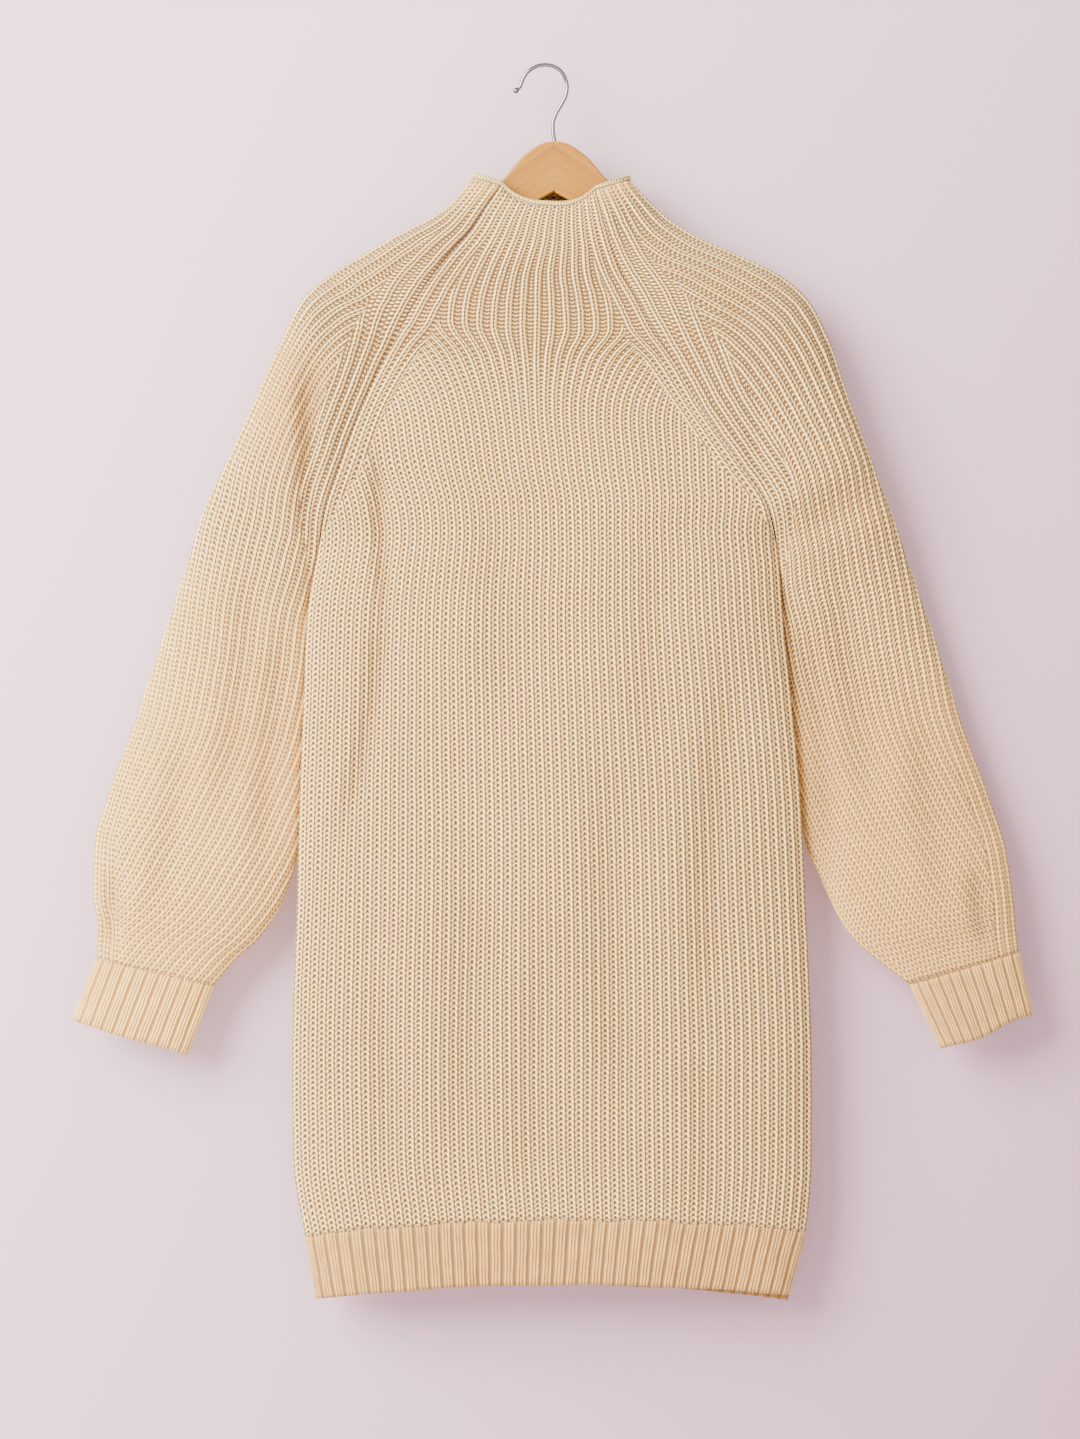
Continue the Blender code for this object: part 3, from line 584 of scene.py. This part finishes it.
sleeveNames = ("foldX", "foldZ", "innerX", "innerZ", "bulge", "back", "ribs", "bandRibs",
               "bandShare", "course")
sleeveTables = {
    "left": [
        (-58, -89.8, -35, -96.5, 0, 0, 2.5, 2, 0.44, 3.4),
        (-74, -109, -46, -112, 0, 0, 2.5, 2, 0.44, 3.4),
        (-90, -121, -58, -131, 0, 0, 2.5, 2, 0.44, 3.4),
        (-116, -134, -78, -154, 0, 0, 2.8, 2, 0.44, 3.4),
        (-146, -151, -96, -178, 1, 0, 3.2, 2, 0.42, 3.4),
        (-173.5, -168.5, -110, -202, 2, 0, 4, 2.2, 0.39, 3.4),
        (-193.5, -186.5, -127, -234, 3, 0, 6, 3, 0.37, 3.5),
        (-211, -222, -145, -272, 4, 0, 8, 3.6, 0.35, 3.6),
        (-230, -265, -163, -319, 6, 0, 9.2, 3.4, 0.31, 4),
        (-250, -308, -175, -354, 9, 0, 9.8, 2.8, 0.24, 4),
        (-270, -350, -182, -391, 13, 0, 11.6, 1.6, 0.12, 4),
        (-289, -406, -189.5, -436, 14, 7.5, 15, 0, 0, 4),
        (-309, -466, -190.5, -498, 15, 11, 17.8, 0, 0, 4),
        (-329, -526, -193, -562, 16, 11, 21, 0, 0, 4),
        (-350, -582, -197, -622, 17, 11, 24, 0, 0, 4),
        (-361, -622, -208, -663, 17, 9, 25.4, 0, 0, 4),
        (-362, -662, -226, -694, 16, 6, 26, 0, 0, 4),
        (-358, -686, -247, -714, 13, 4, 26, 0, 0, 4),
        (-359, -713, -265, -735, 10, 2, 26, 0, 0, 3.8),
    ],
    "right": [
        (67.5, -91.4, 40.3, -100.5, 0, 0, 3.5, 2, 0.36, 3.4),
        (84, -109, 45, -116, 0, 0, 3.5, 2, 0.36, 3.4),
        (100, -123, 51, -138, 0, 0, 3.5, 2, 0.36, 3.4),
        (126, -138, 60, -162, 0, 0, 4, 2, 0.34, 3.4),
        (158, -152, 74, -186, 1, 0, 5.5, 2.2, 0.32, 3.4),
        (188, -167, 87, -210, 2, 0, 6.5, 2.8, 0.32, 3.4),
        (208.5, -185, 105, -239, 3, 0, 8, 3.6, 0.32, 3.5),
        (226, -218, 126, -276, 4, 0, 9.2, 4, 0.31, 3.6),
        (242, -265, 154, -316, 6, 0, 9.6, 3.8, 0.30, 4),
        (258, -308, 178, -353, 9, 0, 10, 2.8, 0.23, 4),
        (274, -350, 186, -390, 13, 0, 12, 1.6, 0.12, 4),
        (294, -406, 189.5, -436, 14, 7.5, 15, 0, 0, 4),
        (315, -466, 194, -498, 15, 11, 17.8, 0, 0, 4),
        (334, -526, 200, -558, 16, 11, 21, 0, 0, 4),
        (355, -582, 207, -614, 17, 11, 24, 0, 0, 4),
        (369, -625, 223, -654, 17, 9, 25.4, 0, 0, 4),
        (375, -666, 244, -694, 16, 6, 26, 0, 0, 4),
        (377, -690, 268, -716, 13, 4, 26, 0, 0, 4),
        (379, -708, 292, -734, 10, 2, 26, 0, 0, 3.8),
    ],
}
sleeveAt = {end: smoothTable(table, sleeveNames) for end, table in sleeveTables.items()}
# for each row: ribs by which the tube is turned about the arm, and ribs that have ended on the outer wales
flowRows = [(0.0, 0.0)] * armpitRow + [(0.3, 0.0), (1.3, 0.0), (2.9, 0.0), (4.0, 0.0), (4.0, 0.8),
                                       (4.0, 2.4), (4.0, 5.4), (4.0, 9.0), (4.0, 11.6)]
flowAt = smoothTable(flowRows, ("turned", "ended"))
cuffBottoms = {"left": (-378, -763, -286, -790, 9.5, 1), "right": (390, -758, 317, -787, 9.5, 1)}

# soft troughs, which also set painted shade: top x and z, low x and z, bend to one side, depth, width
creases = {
    -1: [
        (-136, -298, -129, -440, 2, 5.5, 7), (-129, -430, -162, -610, 6, 5, 9),
        (150, -480, 130, -760, -8, 3, 16), (-60, -620, -75, -880, 8, 2.4, 20),
        (50, -560, 66, -860, -6, 2.2, 18), (-52, -330, -36, -520, 6, 1.4, 18),
        (92, -380, 84, -560, -5, 1.4, 16), (-140, -700, -128, -900, 5, 2, 14),
        (120, -780, 128, -920, 4, 1.8, 13), (0, -700, -8, -900, -5, 1.6, 16),
    ],
    1: [
        (120, -320, 140, -560, 4, 3, 16), (-140, -400, -120, -700, -6, 2.4, 18),
        (20, -560, 10, -860, 5, 1.6, 26), (-70, -250, -90, -430, 4, 1, 18),
        (80, -600, 96, -880, -6, 1.2, 22), (-60, -700, -52, -900, 4, 1, 18),
    ],
    "left": [
        (-189, -236, -184, -396, 0, 7.5, 10), (-235, -400, -262, -600, 5, 3, 14),
        (-345, -640, -352, -706, 2, 4, 8), (-206, -430, -226, -650, -4, 3.6, 12),
        (-290, -520, -318, -690, 5, 2.2, 13), (-168, -190, -186, -262, 3, 1.6, 11),
    ],
    "right": [
        (163, -286, 192, -400, -3, 5, 9), (235, -400, 262, -600, -5, 3, 14),
        (345, -640, 352, -706, -2, 4, 8), (206, -430, 224, -640, 4, 3.6, 11),
        (300, -510, 322, -690, -5, 2.2, 13), (150, -188, 178, -256, -3, 1.6, 11),
    ],
}
seams = dress["seamHalf"]


def lens(u):
    return math.sqrt(max(0.0, 1.0 - abs(u) ** dress["lensPower"]))


def panelSection(size, side, drop=0.0):
    # front is side -1 and back is side 1; the line runs from the left seam to the right one
    left = flat(size["leftX"] + seams, size["leftZ"] - drop)
    right = flat(size["rightX"] - seams, size["rightZ"] - drop)
    dip = size["frontDip"] if side < 0 else size["backDip"]
    bowl = 2 + smoothStep(8.0, 14.0, dip)
    n = dress["samples"]
    points = []
    for step in range(-n, n + 1):
        u = math.sin(step / n * math.pi / 2)
        place = left.lerp(right, (u + 1) / 2)
        place.z -= dip * (1 - abs(u) ** bowl)
        arch = (1 - size["round"]) * (1 - u * u) + size["round"] * lens(u)
        depth = seams + size["seam"] + (size["depth"] - size["seam"]) * arch
        push = creaseDepth(creases[side], place.x, place.z) + 0.5 * ripple(place.x, place.z, side + 2)
        place.y = side * (depth - push * (1 - u ** 4))
        points.append(place)
    chord = (right - left).normalized()
    outside = Vector((0.0, side, 0.0))
    ends = [(away * size["round"] + outside * (1 - size["round"])).normalized()
            for away in (-chord, chord)]
    return Section(points, chord, outside, ends)


def sleeveSize(end, t):
    size = sleeveAt[end](t)
    size["seam"], size["tilt"] = 0.0, 1.0
    if t <= armpitRow:
        panel = panelAt(t)
        size["innerX"], size["innerZ"] = panel[end + "X"], panel[end + "Z"]
        size["seam"], size["tilt"] = panel["seam"], panel["round"]
    return size


def sleeveSection(end, size, drop=None, creased=True):
    # the line runs from the front edge over the outer fold to the back edge
    fold = flat(size["foldX"], size["foldZ"])
    inner = flat(size["innerX"], size["innerZ"])
    if drop:
        fold += drop
        inner += drop
    chord = (fold - inner).normalized()
    inner += chord * seams
    n = dress["samples"]
    points = []
    for step in range(-n, n + 1):
        share = 0.5 - 0.5 * math.cos((1 - abs(step) / n) * math.pi)
        hollow = lens(2 * share - 1)
        if share < 0.5:
            hollow = hollow * size["tilt"] + 4 * share * (1 - share) * (1 - size["tilt"])
        shoulder = math.sqrt(max(0.0, 1 - share ** dress["shoulderPower"]))
        place = inner.lerp(fold, share)
        depth = size["seam"] * shoulder + size["bulge"] * hollow
        if creased:
            push = creaseDepth(creases[end], place.x, place.z)
            depth -= (push + 0.5 * ripple(place.x, place.z, step > 0)) * hollow
        place.y = size["back"] + math.copysign(depth, step)
        points.append(place)
    front = Vector((0.0, -1.0, 0.0))
    ends = [(-chord * size["tilt"] + outside * (1 - size["tilt"])).normalized()
            for outside in (front, -front)]
    return Section(points, chord, front, ends)


# ---- ribs and the columns that follow them

ribMarks = (0.0, 0.22, 0.39, 0.61, 0.78)
bandMarks = [k / 16 for k in range(16)]


def spread(low, high, marks):
    # columns at the marks of every rib between low and high
    found = [whole + mark for whole in range(math.floor(low), math.ceil(high)) for mark in marks]
    return sorted({low, high} | {mark for mark in found if low < mark < high})


def ribbedColumns(ribs, bandRibs):
    return ([("low", key) for key in spread(0, bandRibs, ribMarks)]
            + [("main", key) for key in spread(*ribs, ribMarks)]
            + [("high", key) for key in reversed(spread(0, bandRibs, ribMarks))])


def waleLift(key, pitch, raiseBy):
    # a raised wale in the middle of each rib, with plain purl courses between
    offset = (key % 1.0 - 0.5) * pitch
    return raiseBy * math.exp(-((offset / dress["waleHalf"]) ** 4)) + dress["purlRaise"] * math.cos(offset)


stillFlow = {"turned": 0.0, "ended": 0.0}


def ribbedRow(section, size, courses, columns, folds, raiseBy, troughs, flow=stillFlow):
    # the places of one row: fashioning wales beside each seam, and the main ribs between them;
    # ribs may be turned about the arm, and may end on the outer wales
    lowFold, highFold = folds
    half = section.total / 2
    bandWidth = size["bandShare"] * half
    bandPitch = bandWidth / size["bandRibs"] if size["bandRibs"] > 0.05 else dress["ribPitch"]
    pitch = (half - bandWidth) / (size["ribs"] - flow["ended"])
    outer = dress["outerWales"]
    values = []
    for zone, key in columns:
        if zone == "main":
            place = min(size["ribs"], max(-size["ribs"], key - flow["turned"]))
            if abs(place) > outer:
                place = math.copysign(max(abs(place), outer + flow["ended"]), place)
            past = max(0.0, abs(place) - outer - flow["ended"])
            inside = smoothStep(0.0, 0.5, size["ribs"] - abs(place))
            if flow["ended"] and abs(place) > outer:
                inside *= smoothStep(0.0, 0.6, past)
            length = half + math.copysign(min(abs(place), outer) + past, place) * pitch
            room = (size["ribs"] - abs(place)) * pitch
            length += dress["ribWander"] * ripple(length * 1.4, courses * 4, 5) * smoothStep(0, 30, room)
            rib = place + flow["turned"]
            spot = section.at(length, waleLift(rib, pitch, raiseBy) * inside)
            # painted shade in the soft troughs, darker where they are deeper
            shade = dress["troughShade"] * min(4.5, creaseDepth(troughs, spot.x, spot.z))
            values.append((spot, rib + 40, courses, pitch, shade))
        else:
            key = min(size["bandRibs"], key)
            away = key * bandPitch
            inside = smoothStep(0.0, 0.5, size["bandRibs"] - key)
            lift = waleLift(key, bandPitch, raiseBy) * inside
            near = math.exp(-((away / dress["foldReach"]) ** 2))
            fold = near * (lowFold if zone == "low" else highFold)
            lift -= dress["foldDepth"] * fold
            length = away if zone == "low" else section.total - away
            # painted shade in the drawn-in seam and painted light along the seams
            shade = dress["foldShade"] * fold + dress["seamShade"] * near
            values.append((section.at(length, lift), 20 - key, courses, bandPitch, shade))
    return values


def fadeOut(t, lastT):
    # the wales lie flatter where a band begins
    return 1.0 - (1.0 - dress["endRaise"]) * smoothStep(lastT - 0.3, lastT, t)


def seamFold(t):
    # the seam beside the left of the neck is drawn in and takes painted shade, and the others are nearly
    # flush
    return 0.1 + 0.9 * smoothStep(0.0, 0.6, t) * smoothStep(4.6, 2.4, t)


def courseCounter(at, steps, placeOf):
    # how many courses lie above each row
    total, counts, before = 0.0, {}, None
    for t in steps:
        place = placeOf(at(t))
        if before is not None:
            total += (place - before).length / at(t)["course"]
        counts[t] = total
        before = place
    return counts


def middleOf(size):
    return flat((size["leftX"] + size["rightX"]) / 2, (size["leftZ"] + size["rightZ"]) / 2)


def alongSleeve(size):
    return flat(size["foldX"] * 0.6 + size["innerX"] * 0.4, size["foldZ"] * 0.6 + size["innerZ"] * 0.4)


panelPlaces = [flat(row[0] * 0.5 + row[2] * 0.5, row[1] * 0.5 + row[3] * 0.5) for row in panelTable]
panelSteps = tSteps(panelPlaces, dress["spacing"], 0, len(panelTable) - 1)
panelCourses = courseCounter(panelAt, panelSteps, middleOf)
joinDrop = {"height": 1.1, "reach": 34.0}


def joinWave(x):
    # the seams above the hem ribs are drawn up and down a little
    return joinDrop["height"] * (math.sin(x * 0.21) * 0.6 + math.sin(x * 0.083 + 1.0) * 0.7)


def makePanel(name, side, material):
    columns = ribbedColumns((-30, 30), 3)
    lastT = panelSteps[-1]

    def place(t, columns):
        size = panelAt(t)
        folds = (seamFold(t) if side < 0 else 0.12, 0.12)
        values = ribbedRow(panelSection(size, side), size, panelCourses[t], columns, folds,
                           dress["ribRaise"] * fadeOut(t, lastT), creases[side])
        wave = smoothStep(lastT - 0.6, lastT, t)
        if wave:
            values = [(spot + flat(0, joinWave(spot.x) * wave), *rest) for spot, *rest in values]
        return values
    return clothMesh(name, columns, panelSteps, place, dress["shell"], material)


def makeSleeve(name, end, material):
    table = sleeveTables[end]
    columns = ribbedColumns((-22, 30), 4)
    folds = [flat(row[0], row[1]) for row in table]
    steps = panelSteps[:panelSteps.index(float(armpitRow))]
    steps += tSteps(folds, dress["spacing"], armpitRow, len(table) - 1)
    courses = courseCounter(lambda t: sleeveSize(end, t), steps, alongSleeve)

    def place(t, columns):
        size = sleeveSize(end, t)
        folds = (seamFold(t) if end == "left" else 0.12, 0.12)
        raiseBy = dress["ribRaise"] + (dress["sleeveRaise"] - dress["ribRaise"]) * smoothStep(8, 11, t)
        values = ribbedRow(sleeveSection(end, size), size, courses[t], columns, folds,
                           raiseBy * fadeOut(t, len(table) - 1), creases[end], flowAt(t))
        # painted light on the left sleeve and painted shade on the right
        paintedSideShade = dress["sleeveShade"][end] * smoothStep(7, 11, t)
        return [(*rest, shade + paintedSideShade) for *rest, shade in values]
    return clothMesh(name, columns, steps, place, dress["shell"], material)


# ---- hem ribs, cuffs and the neck binding

edges = {
    "hemRibs": 20,
    "cuffRibs": 11,
    "deep": 52,             # from the seam to the edge, in millimetres
    "rows": 14,
    "fineWales": 3,         # in each broad rib
    "fineRaise": 0.2,
    "wander": 0.8,
    "hemShade": 0.6,
    # painted shade on the right cuff, with the left one a touch lighter
    "cuffShade": {"left": -0.05, "right": 0.45},
    "course": 2.6,
}


def bandLift(key):
    # a broad flat rib of three fine wales between two narrow grooves
    offset = abs(key % 1.0 - 0.5)
    body = dress["bandRaise"] * (1 - smoothStep(0.34, 0.47, offset))
    fine = 0.5 + 0.5 * math.cos((key % 1.0 - 0.5) * 2 * math.pi * edges["fineWales"] / ribLook["share"])
    return body + edges["fineRaise"] * fine * (1 - smoothStep(0.36, 0.44, offset))


def bandRow(section, ribs, courses, columns, flatten=0.0, shade=0.0):
    values = []
    half = section.total / 2
    for zone, key in columns:
        length = half + key / ribs * half
        room = half - abs(length - half)
        length += edges["wander"] * ripple(length * 1.7, 3.0, 9) * smoothStep(0, 20, room)
        lift = bandLift(key) * (1 - 0.5 * flatten)
        values.append((section.at(length, lift), key + 40, courses, half / ribs, shade))
    return values


def makeHem(name, side, material):
    ribs = edges["hemRibs"]
    columns = [("main", key) for key in spread(-ribs, ribs, bandMarks)]
    top = dict(zip(columnNames, panelTable[-1]))
    bottom = dict(zip(columnNames, hemBottoms[side]))
    steps = [k / edges["rows"] for k in range(edges["rows"] + 1)]

    def place(t, columns):
        size = {key: top[key] * (1 - t) + bottom[key] * t for key in top}
        section = panelSection(size, side, dress["bandGap"] * (1 - t))
        courses = t * edges["deep"] / edges["course"]
        edge = max(smoothStep(0.08, 0.0, t), smoothStep(0.95, 1.0, t))
        values = bandRow(section, ribs, courses, columns, edge, edges["hemShade"])
        return [(spot + flat(0, joinWave(spot.x) * smoothStep(0.5, 0.0, t)
                             + 0.7 * ripple(spot.x * 2, 0, side) * smoothStep(0.6, 1.0, t)), *rest)
                for spot, *rest in values]
    return clothMesh(name, columns, steps, place, dress["shell"], material)


def makeCuff(name, end, material):
    ribs = edges["cuffRibs"]
    columns = [("main", key) for key in spread(-ribs, ribs, bandMarks)]
    top = sleeveSize(end, len(sleeveTables[end]) - 1)
    bottom = dict(top, **dict(zip(sleeveNames, cuffBottoms[end])))
    drop = flat(bottom["foldX"] - top["foldX"], bottom["foldZ"] - top["foldZ"]).normalized()
    steps = [k / edges["rows"] for k in range(edges["rows"] + 1)]

    def place(t, columns):
        size = {key: top[key] * (1 - t) + bottom[key] * t for key in top}
        section = sleeveSection(end, size, drop * dress["bandGap"] * (1 - t), creased=False)
        edge = max(smoothStep(0.08, 0.0, t), smoothStep(0.95, 1.0, t))
        courses = t * edges["deep"] / edges["course"]
        values = bandRow(section, ribs, courses, columns, edge, edges["cuffShade"][end])
        wave = smoothStep(0.4, 1.0, t) * (1.6 if end == "right" else 0.5)
        return [(spot + drop * wave * math.sin(spot.x * 0.11 + 1.2), *rest) for spot, *rest in values]
    return clothMesh(name, columns, steps, place, dress["shell"], material)


# the negative shade is painted light that lifts the binding's tone
neckBinding = {"height": 4.4, "thickness": 2.8, "gap": 0.1, "raise": 1.0, "sides": 14, "pitch": 2.6,
               "swell": 0.16, "shade": -0.6}


def makeNeckBinding(name, material):
    # a narrow knitted edge, closed round the neck
    front = panelSection(panelAt(0), -1)
    back = panelSection(panelAt(0), 1)
    left = sleeveSection("left", sleeveSize("left", 0))
    right = sleeveSection("right", sleeveSize("right", 0))
    path, total = [], 0.0
    for section, backwards in ((front, False), (right, False), (back, True), (left, True)):
        count = round(section.total / 0.65)
        for k in range(count):
            share = 1 - k / count if backwards else k / count
            path.append((section, share * section.total, total + k / count * section.total))
        total += section.total
    path.append(path[0][:2] + (total,))
    wales = round(total / neckBinding["pitch"])
    sides = neckBinding["sides"]

    def place(j, columns):
        angle = 2 * math.pi * j / sides
        values = []
        for section, length, along in columns:
            bead = 1 + neckBinding["swell"] * (math.cos(2 * math.pi * wales * along / total) - 0.5)
            across = math.copysign(abs(math.cos(angle)) ** 0.7, math.cos(angle))
            rise = math.copysign(abs(math.sin(angle)) ** 0.7, math.sin(angle))
            lift = neckBinding["raise"] + neckBinding["thickness"] / 2 * (across * bead - 1)
            up = neckBinding["gap"] + neckBinding["height"] / 2 * (1 + rise * 0.5 * (1 + bead))
            values.append((section.at(length, lift) + flat(0, up), wales * along / total + 40,
                           j / sides * 5, neckBinding["pitch"], neckBinding["shade"]))
        return values
    return clothMesh(name, path, list(range(sides + 1)), place, 0.0, material)


# ---- the hanger

hanger = {
    "centre": 7.6,
    "thickness": 11.0,
    "rounding": 1.7,
    "glue": 0.02,
    "top": [(0, -60), (8, -61), (16, -64.8), (25.6, -72), (32.8, -80), (40.4, -88.8), (50, -98.5),
            (64, -111), (80, -123.5), (100, -137), (120, -147), (150, -160), (177, -173), (186, -179.5),
            (189.5, -186), (187, -193), (182, -195)],
    "bottom": [(150, -180), (80, -143.5), (0, -100.8)],
    "wire": [(-24.8, -20.5), (-20.0, -15.8), (-17.5, -9.5), (-13.4, -3.7), (-6.8, 0.4), (0, 1.6),
             (6.2, 0.6), (11.6, -2.4), (15.8, -8), (17.6, -15), (16.6, -23), (13, -30.4), (8.6, -38),
             (6.4, -45.2), (6.6, -52.8), (7.6, -60), (7.6, -72), (7.6, -78)],
    "wireRadius": 1.5,
    "tipRadius": 2.3,
    "wood": [(0.25, (136, 81, 0)), (0.5, (154, 98, 0)), (0.8, (171, 114, 2))],
    "grainSlope": 0.68,
    "grainStretch": (9.0, 150.0, 60.0),     # along the arm, across it and through it
}


def smoothRoute(route, perSpan):
    points = [flat(x, z) for x, z in route]
    padded = [2 * points[0] - points[1]] + points + [2 * points[-1] - points[-2]]
    result = []
    for a, b, c, d in zip(padded, padded[1:], padded[2:], padded[3:]):
        for step in range(perSpan):
            t = step / perSpan
            result.append(0.5 * (2 * b + (c - a) * t + (2 * a - 5 * b + 4 * c - d) * t * t
                                 + (3 * b - a - 3 * c + d) * t ** 3))
    return result + [points[-1]]


def woodMaterial():
    # grain that runs down both arms and meets at the glued middle
    material, w, sockets = newMaterial("lacqueredWood", **{"Roughness": 0.42, "Coat Weight": 0.15,
                                                           "Coat Roughness": 0.3})
    split = w.add("ShaderNodeSeparateXYZ")
    w.plug(split.inputs[0], w.add("ShaderNodeTexCoord").outputs["Object"])
    x = w.calc("ABSOLUTE", w.calc("SUBTRACT", split.outputs["X"], hanger["centre"] * mm))
    across = w.calc("MULTIPLY_ADD", x, hanger["grainSlope"], split.outputs["Z"])
    along = w.calc("MULTIPLY_ADD", split.outputs["Z"], -hanger["grainSlope"], x)
    joined = w.add("ShaderNodeCombineXYZ")
    grainPlace = (along, across, split.outputs["Y"])
    for socket, value, stretch in zip(joined.inputs, grainPlace, hanger["grainStretch"]):
        w.plug(socket, w.calc("MULTIPLY", value, stretch))
    grain = w.noise(joined.outputs[0], 1.6, 6.0)
    pores = w.noise(joined.outputs[0], 9.0, 2.0)
    tone = w.calc("MULTIPLY_ADD", pores, 0.25, w.calc("MULTIPLY", grain, 0.85))
    w.plug(sockets["Base Color"], w.tones(tone, [(at, paint(*rgb)) for at, rgb in hanger["wood"]]))
    w.plug(sockets["Roughness"], w.calc("MULTIPLY_ADD", pores, 0.2, 0.28))
    w.plug(sockets["Normal"], w.bump(tone, 0.00025))
    return material


def chromeMaterial():
    # painted reflection: the base colour darkens towards the wire's sides, for a dark room that it would
    # mirror
    material, w, sockets = newMaterial("chromeWire", **{"Metallic": 1.0})
    side = w.add("ShaderNodeLayerWeight")
    side.inputs["Blend"].default_value = 0.5
    w.plug(sockets["Base Color"], w.tones(side.outputs["Facing"], [
        (0.0, paint(150, 152, 160)), (0.25, paint(84, 86, 92)), (0.7, paint(50, 50, 56))]))
    place = w.add("ShaderNodeTexCoord").outputs["Object"]
    w.plug(sockets["Roughness"], w.calc("MULTIPLY_ADD", w.noise(place, 260.0), 0.16, 0.06))
    return material


def makeArm(name, sign, material):
    mesh = bmesh.new()
    half = hanger["thickness"] / 2
    outline = smoothRoute(hanger["top"], 5) + smoothRoute([hanger["top"][-1]] + hanger["bottom"], 4)[1:]
    outline[0].x = outline[-1].x = hanger["glue"]
    verts = [mesh.verts.new(Vector((hanger["centre"] + sign * p.x, -half, p.z)) * mm) for p in outline]
    board = mesh.faces.new(verts)
    grown = bmesh.ops.extrude_face_region(mesh, geom=[board])
    lifted = [item for item in grown["geom"] if isinstance(item, bmesh.types.BMVert)]
    bmesh.ops.translate(mesh, verts=lifted, vec=(0.0, 2 * half * mm, 0.0))
    join = hanger["centre"] * mm
    rim = [edge for edge in mesh.edges
           if abs(edge.verts[0].co.y - edge.verts[1].co.y) < 1e-7
           and max(abs(vert.co.x - join) for vert in edge.verts) > 2 * hanger["glue"] * mm]
    bmesh.ops.bevel(mesh, geom=rim, offset=hanger["rounding"] * mm, segments=4, profile=0.5,
                    affect="EDGES", material=-1, clamp_overlap=True)
    bmesh.ops.recalc_face_normals(mesh, faces=mesh.faces[:])
    for face in mesh.faces:
        face.smooth = max(abs(face.normal.x), abs(face.normal.y)) < 0.999
    arm = addPiece(name, mesh, material)
    print(name, "made")
    return arm


def makeHook(name, material):
    curve = bpy.data.curves.new(name, "CURVE")
    curve.dimensions = "3D"
    curve.bevel_depth = hanger["wireRadius"] * mm
    curve.bevel_resolution = 6
    curve.use_fill_caps = True
    points = smoothRoute(hanger["wire"], 10)
    lengths = [0.0]
    for first, second in zip(points, points[1:]):
        lengths.append(lengths[-1] + (second - first).length)
    spline = curve.splines.new("POLY")
    spline.points.add(len(points) - 1)
    swell = hanger["tipRadius"] / hanger["wireRadius"]
    for point, place, length in zip(spline.points, points, lengths):
        point.co = (*(place * mm), 1.0)
        ball = min(1.0, abs(length - hanger["tipRadius"]) / hanger["tipRadius"])
        least = 1.0 if length > hanger["tipRadius"] else 0.35
        point.radius = max(least, math.sqrt(1.0 - ball ** 2) * swell)
    curve.materials.append(material)
    hook = bpy.data.objects.new(name, curve)
    bpy.context.scene.collection.objects.link(hook)
    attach(hook, "root")
    print(name, "made")
    return hook


# ---- the object

knit = knitRelief()
wool = woolMaterial("creamKnit", knit, knitLook, 0.0, (1.15, 1.75))
sleeveWool = woolMaterial("creamSleeve", knit, knitLook, 0.12, (0.4, 1.9))
ribbing = woolMaterial("creamRib", ribRelief(), ribLook)
print("materials made")

leftArm = makeArm("hangerLeftArm", -1, woodMaterial())
rightArm = makeArm("hangerRightArm", 1, leftArm.data.materials[0])
hook = makeHook("hangerHook", chromeMaterial())
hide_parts("hanger_arm_left")
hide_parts("hanger_arm_right")
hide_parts("hanger_hook")

onHanger = ["hangerLeftArm", "hangerRightArm"]
dressPieces = [
    (makePanel("frontPanel", -1, wool), "front_panel", onHanger),
    (makePanel("backPanel", 1, wool), "back_panel", onHanger),
    (makeSleeve("leftSleeve", "left", sleeveWool), "left_sleeve", onHanger[:1]),
    (makeSleeve("rightSleeve", "right", sleeveWool), "right_sleeve", onHanger[1:]),
    (makeHem("frontHem", -1, ribbing), "front_hem_rib", ["frontPanel"]),
    (makeHem("backHem", 1, ribbing), "back_hem_rib", ["backPanel"]),
    (makeCuff("leftCuff", "left", ribbing), "left_cuff", ["leftSleeve"]),
    (makeCuff("rightCuff", "right", ribbing), "right_cuff", ["rightSleeve"]),
    (makeNeckBinding("neckBinding", wool), "neck_band", ["frontPanel", "backPanel"]),
]
for piece, node, restsOn in dressPieces:
    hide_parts(node)
    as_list(restsOn)

print("pieces placed")
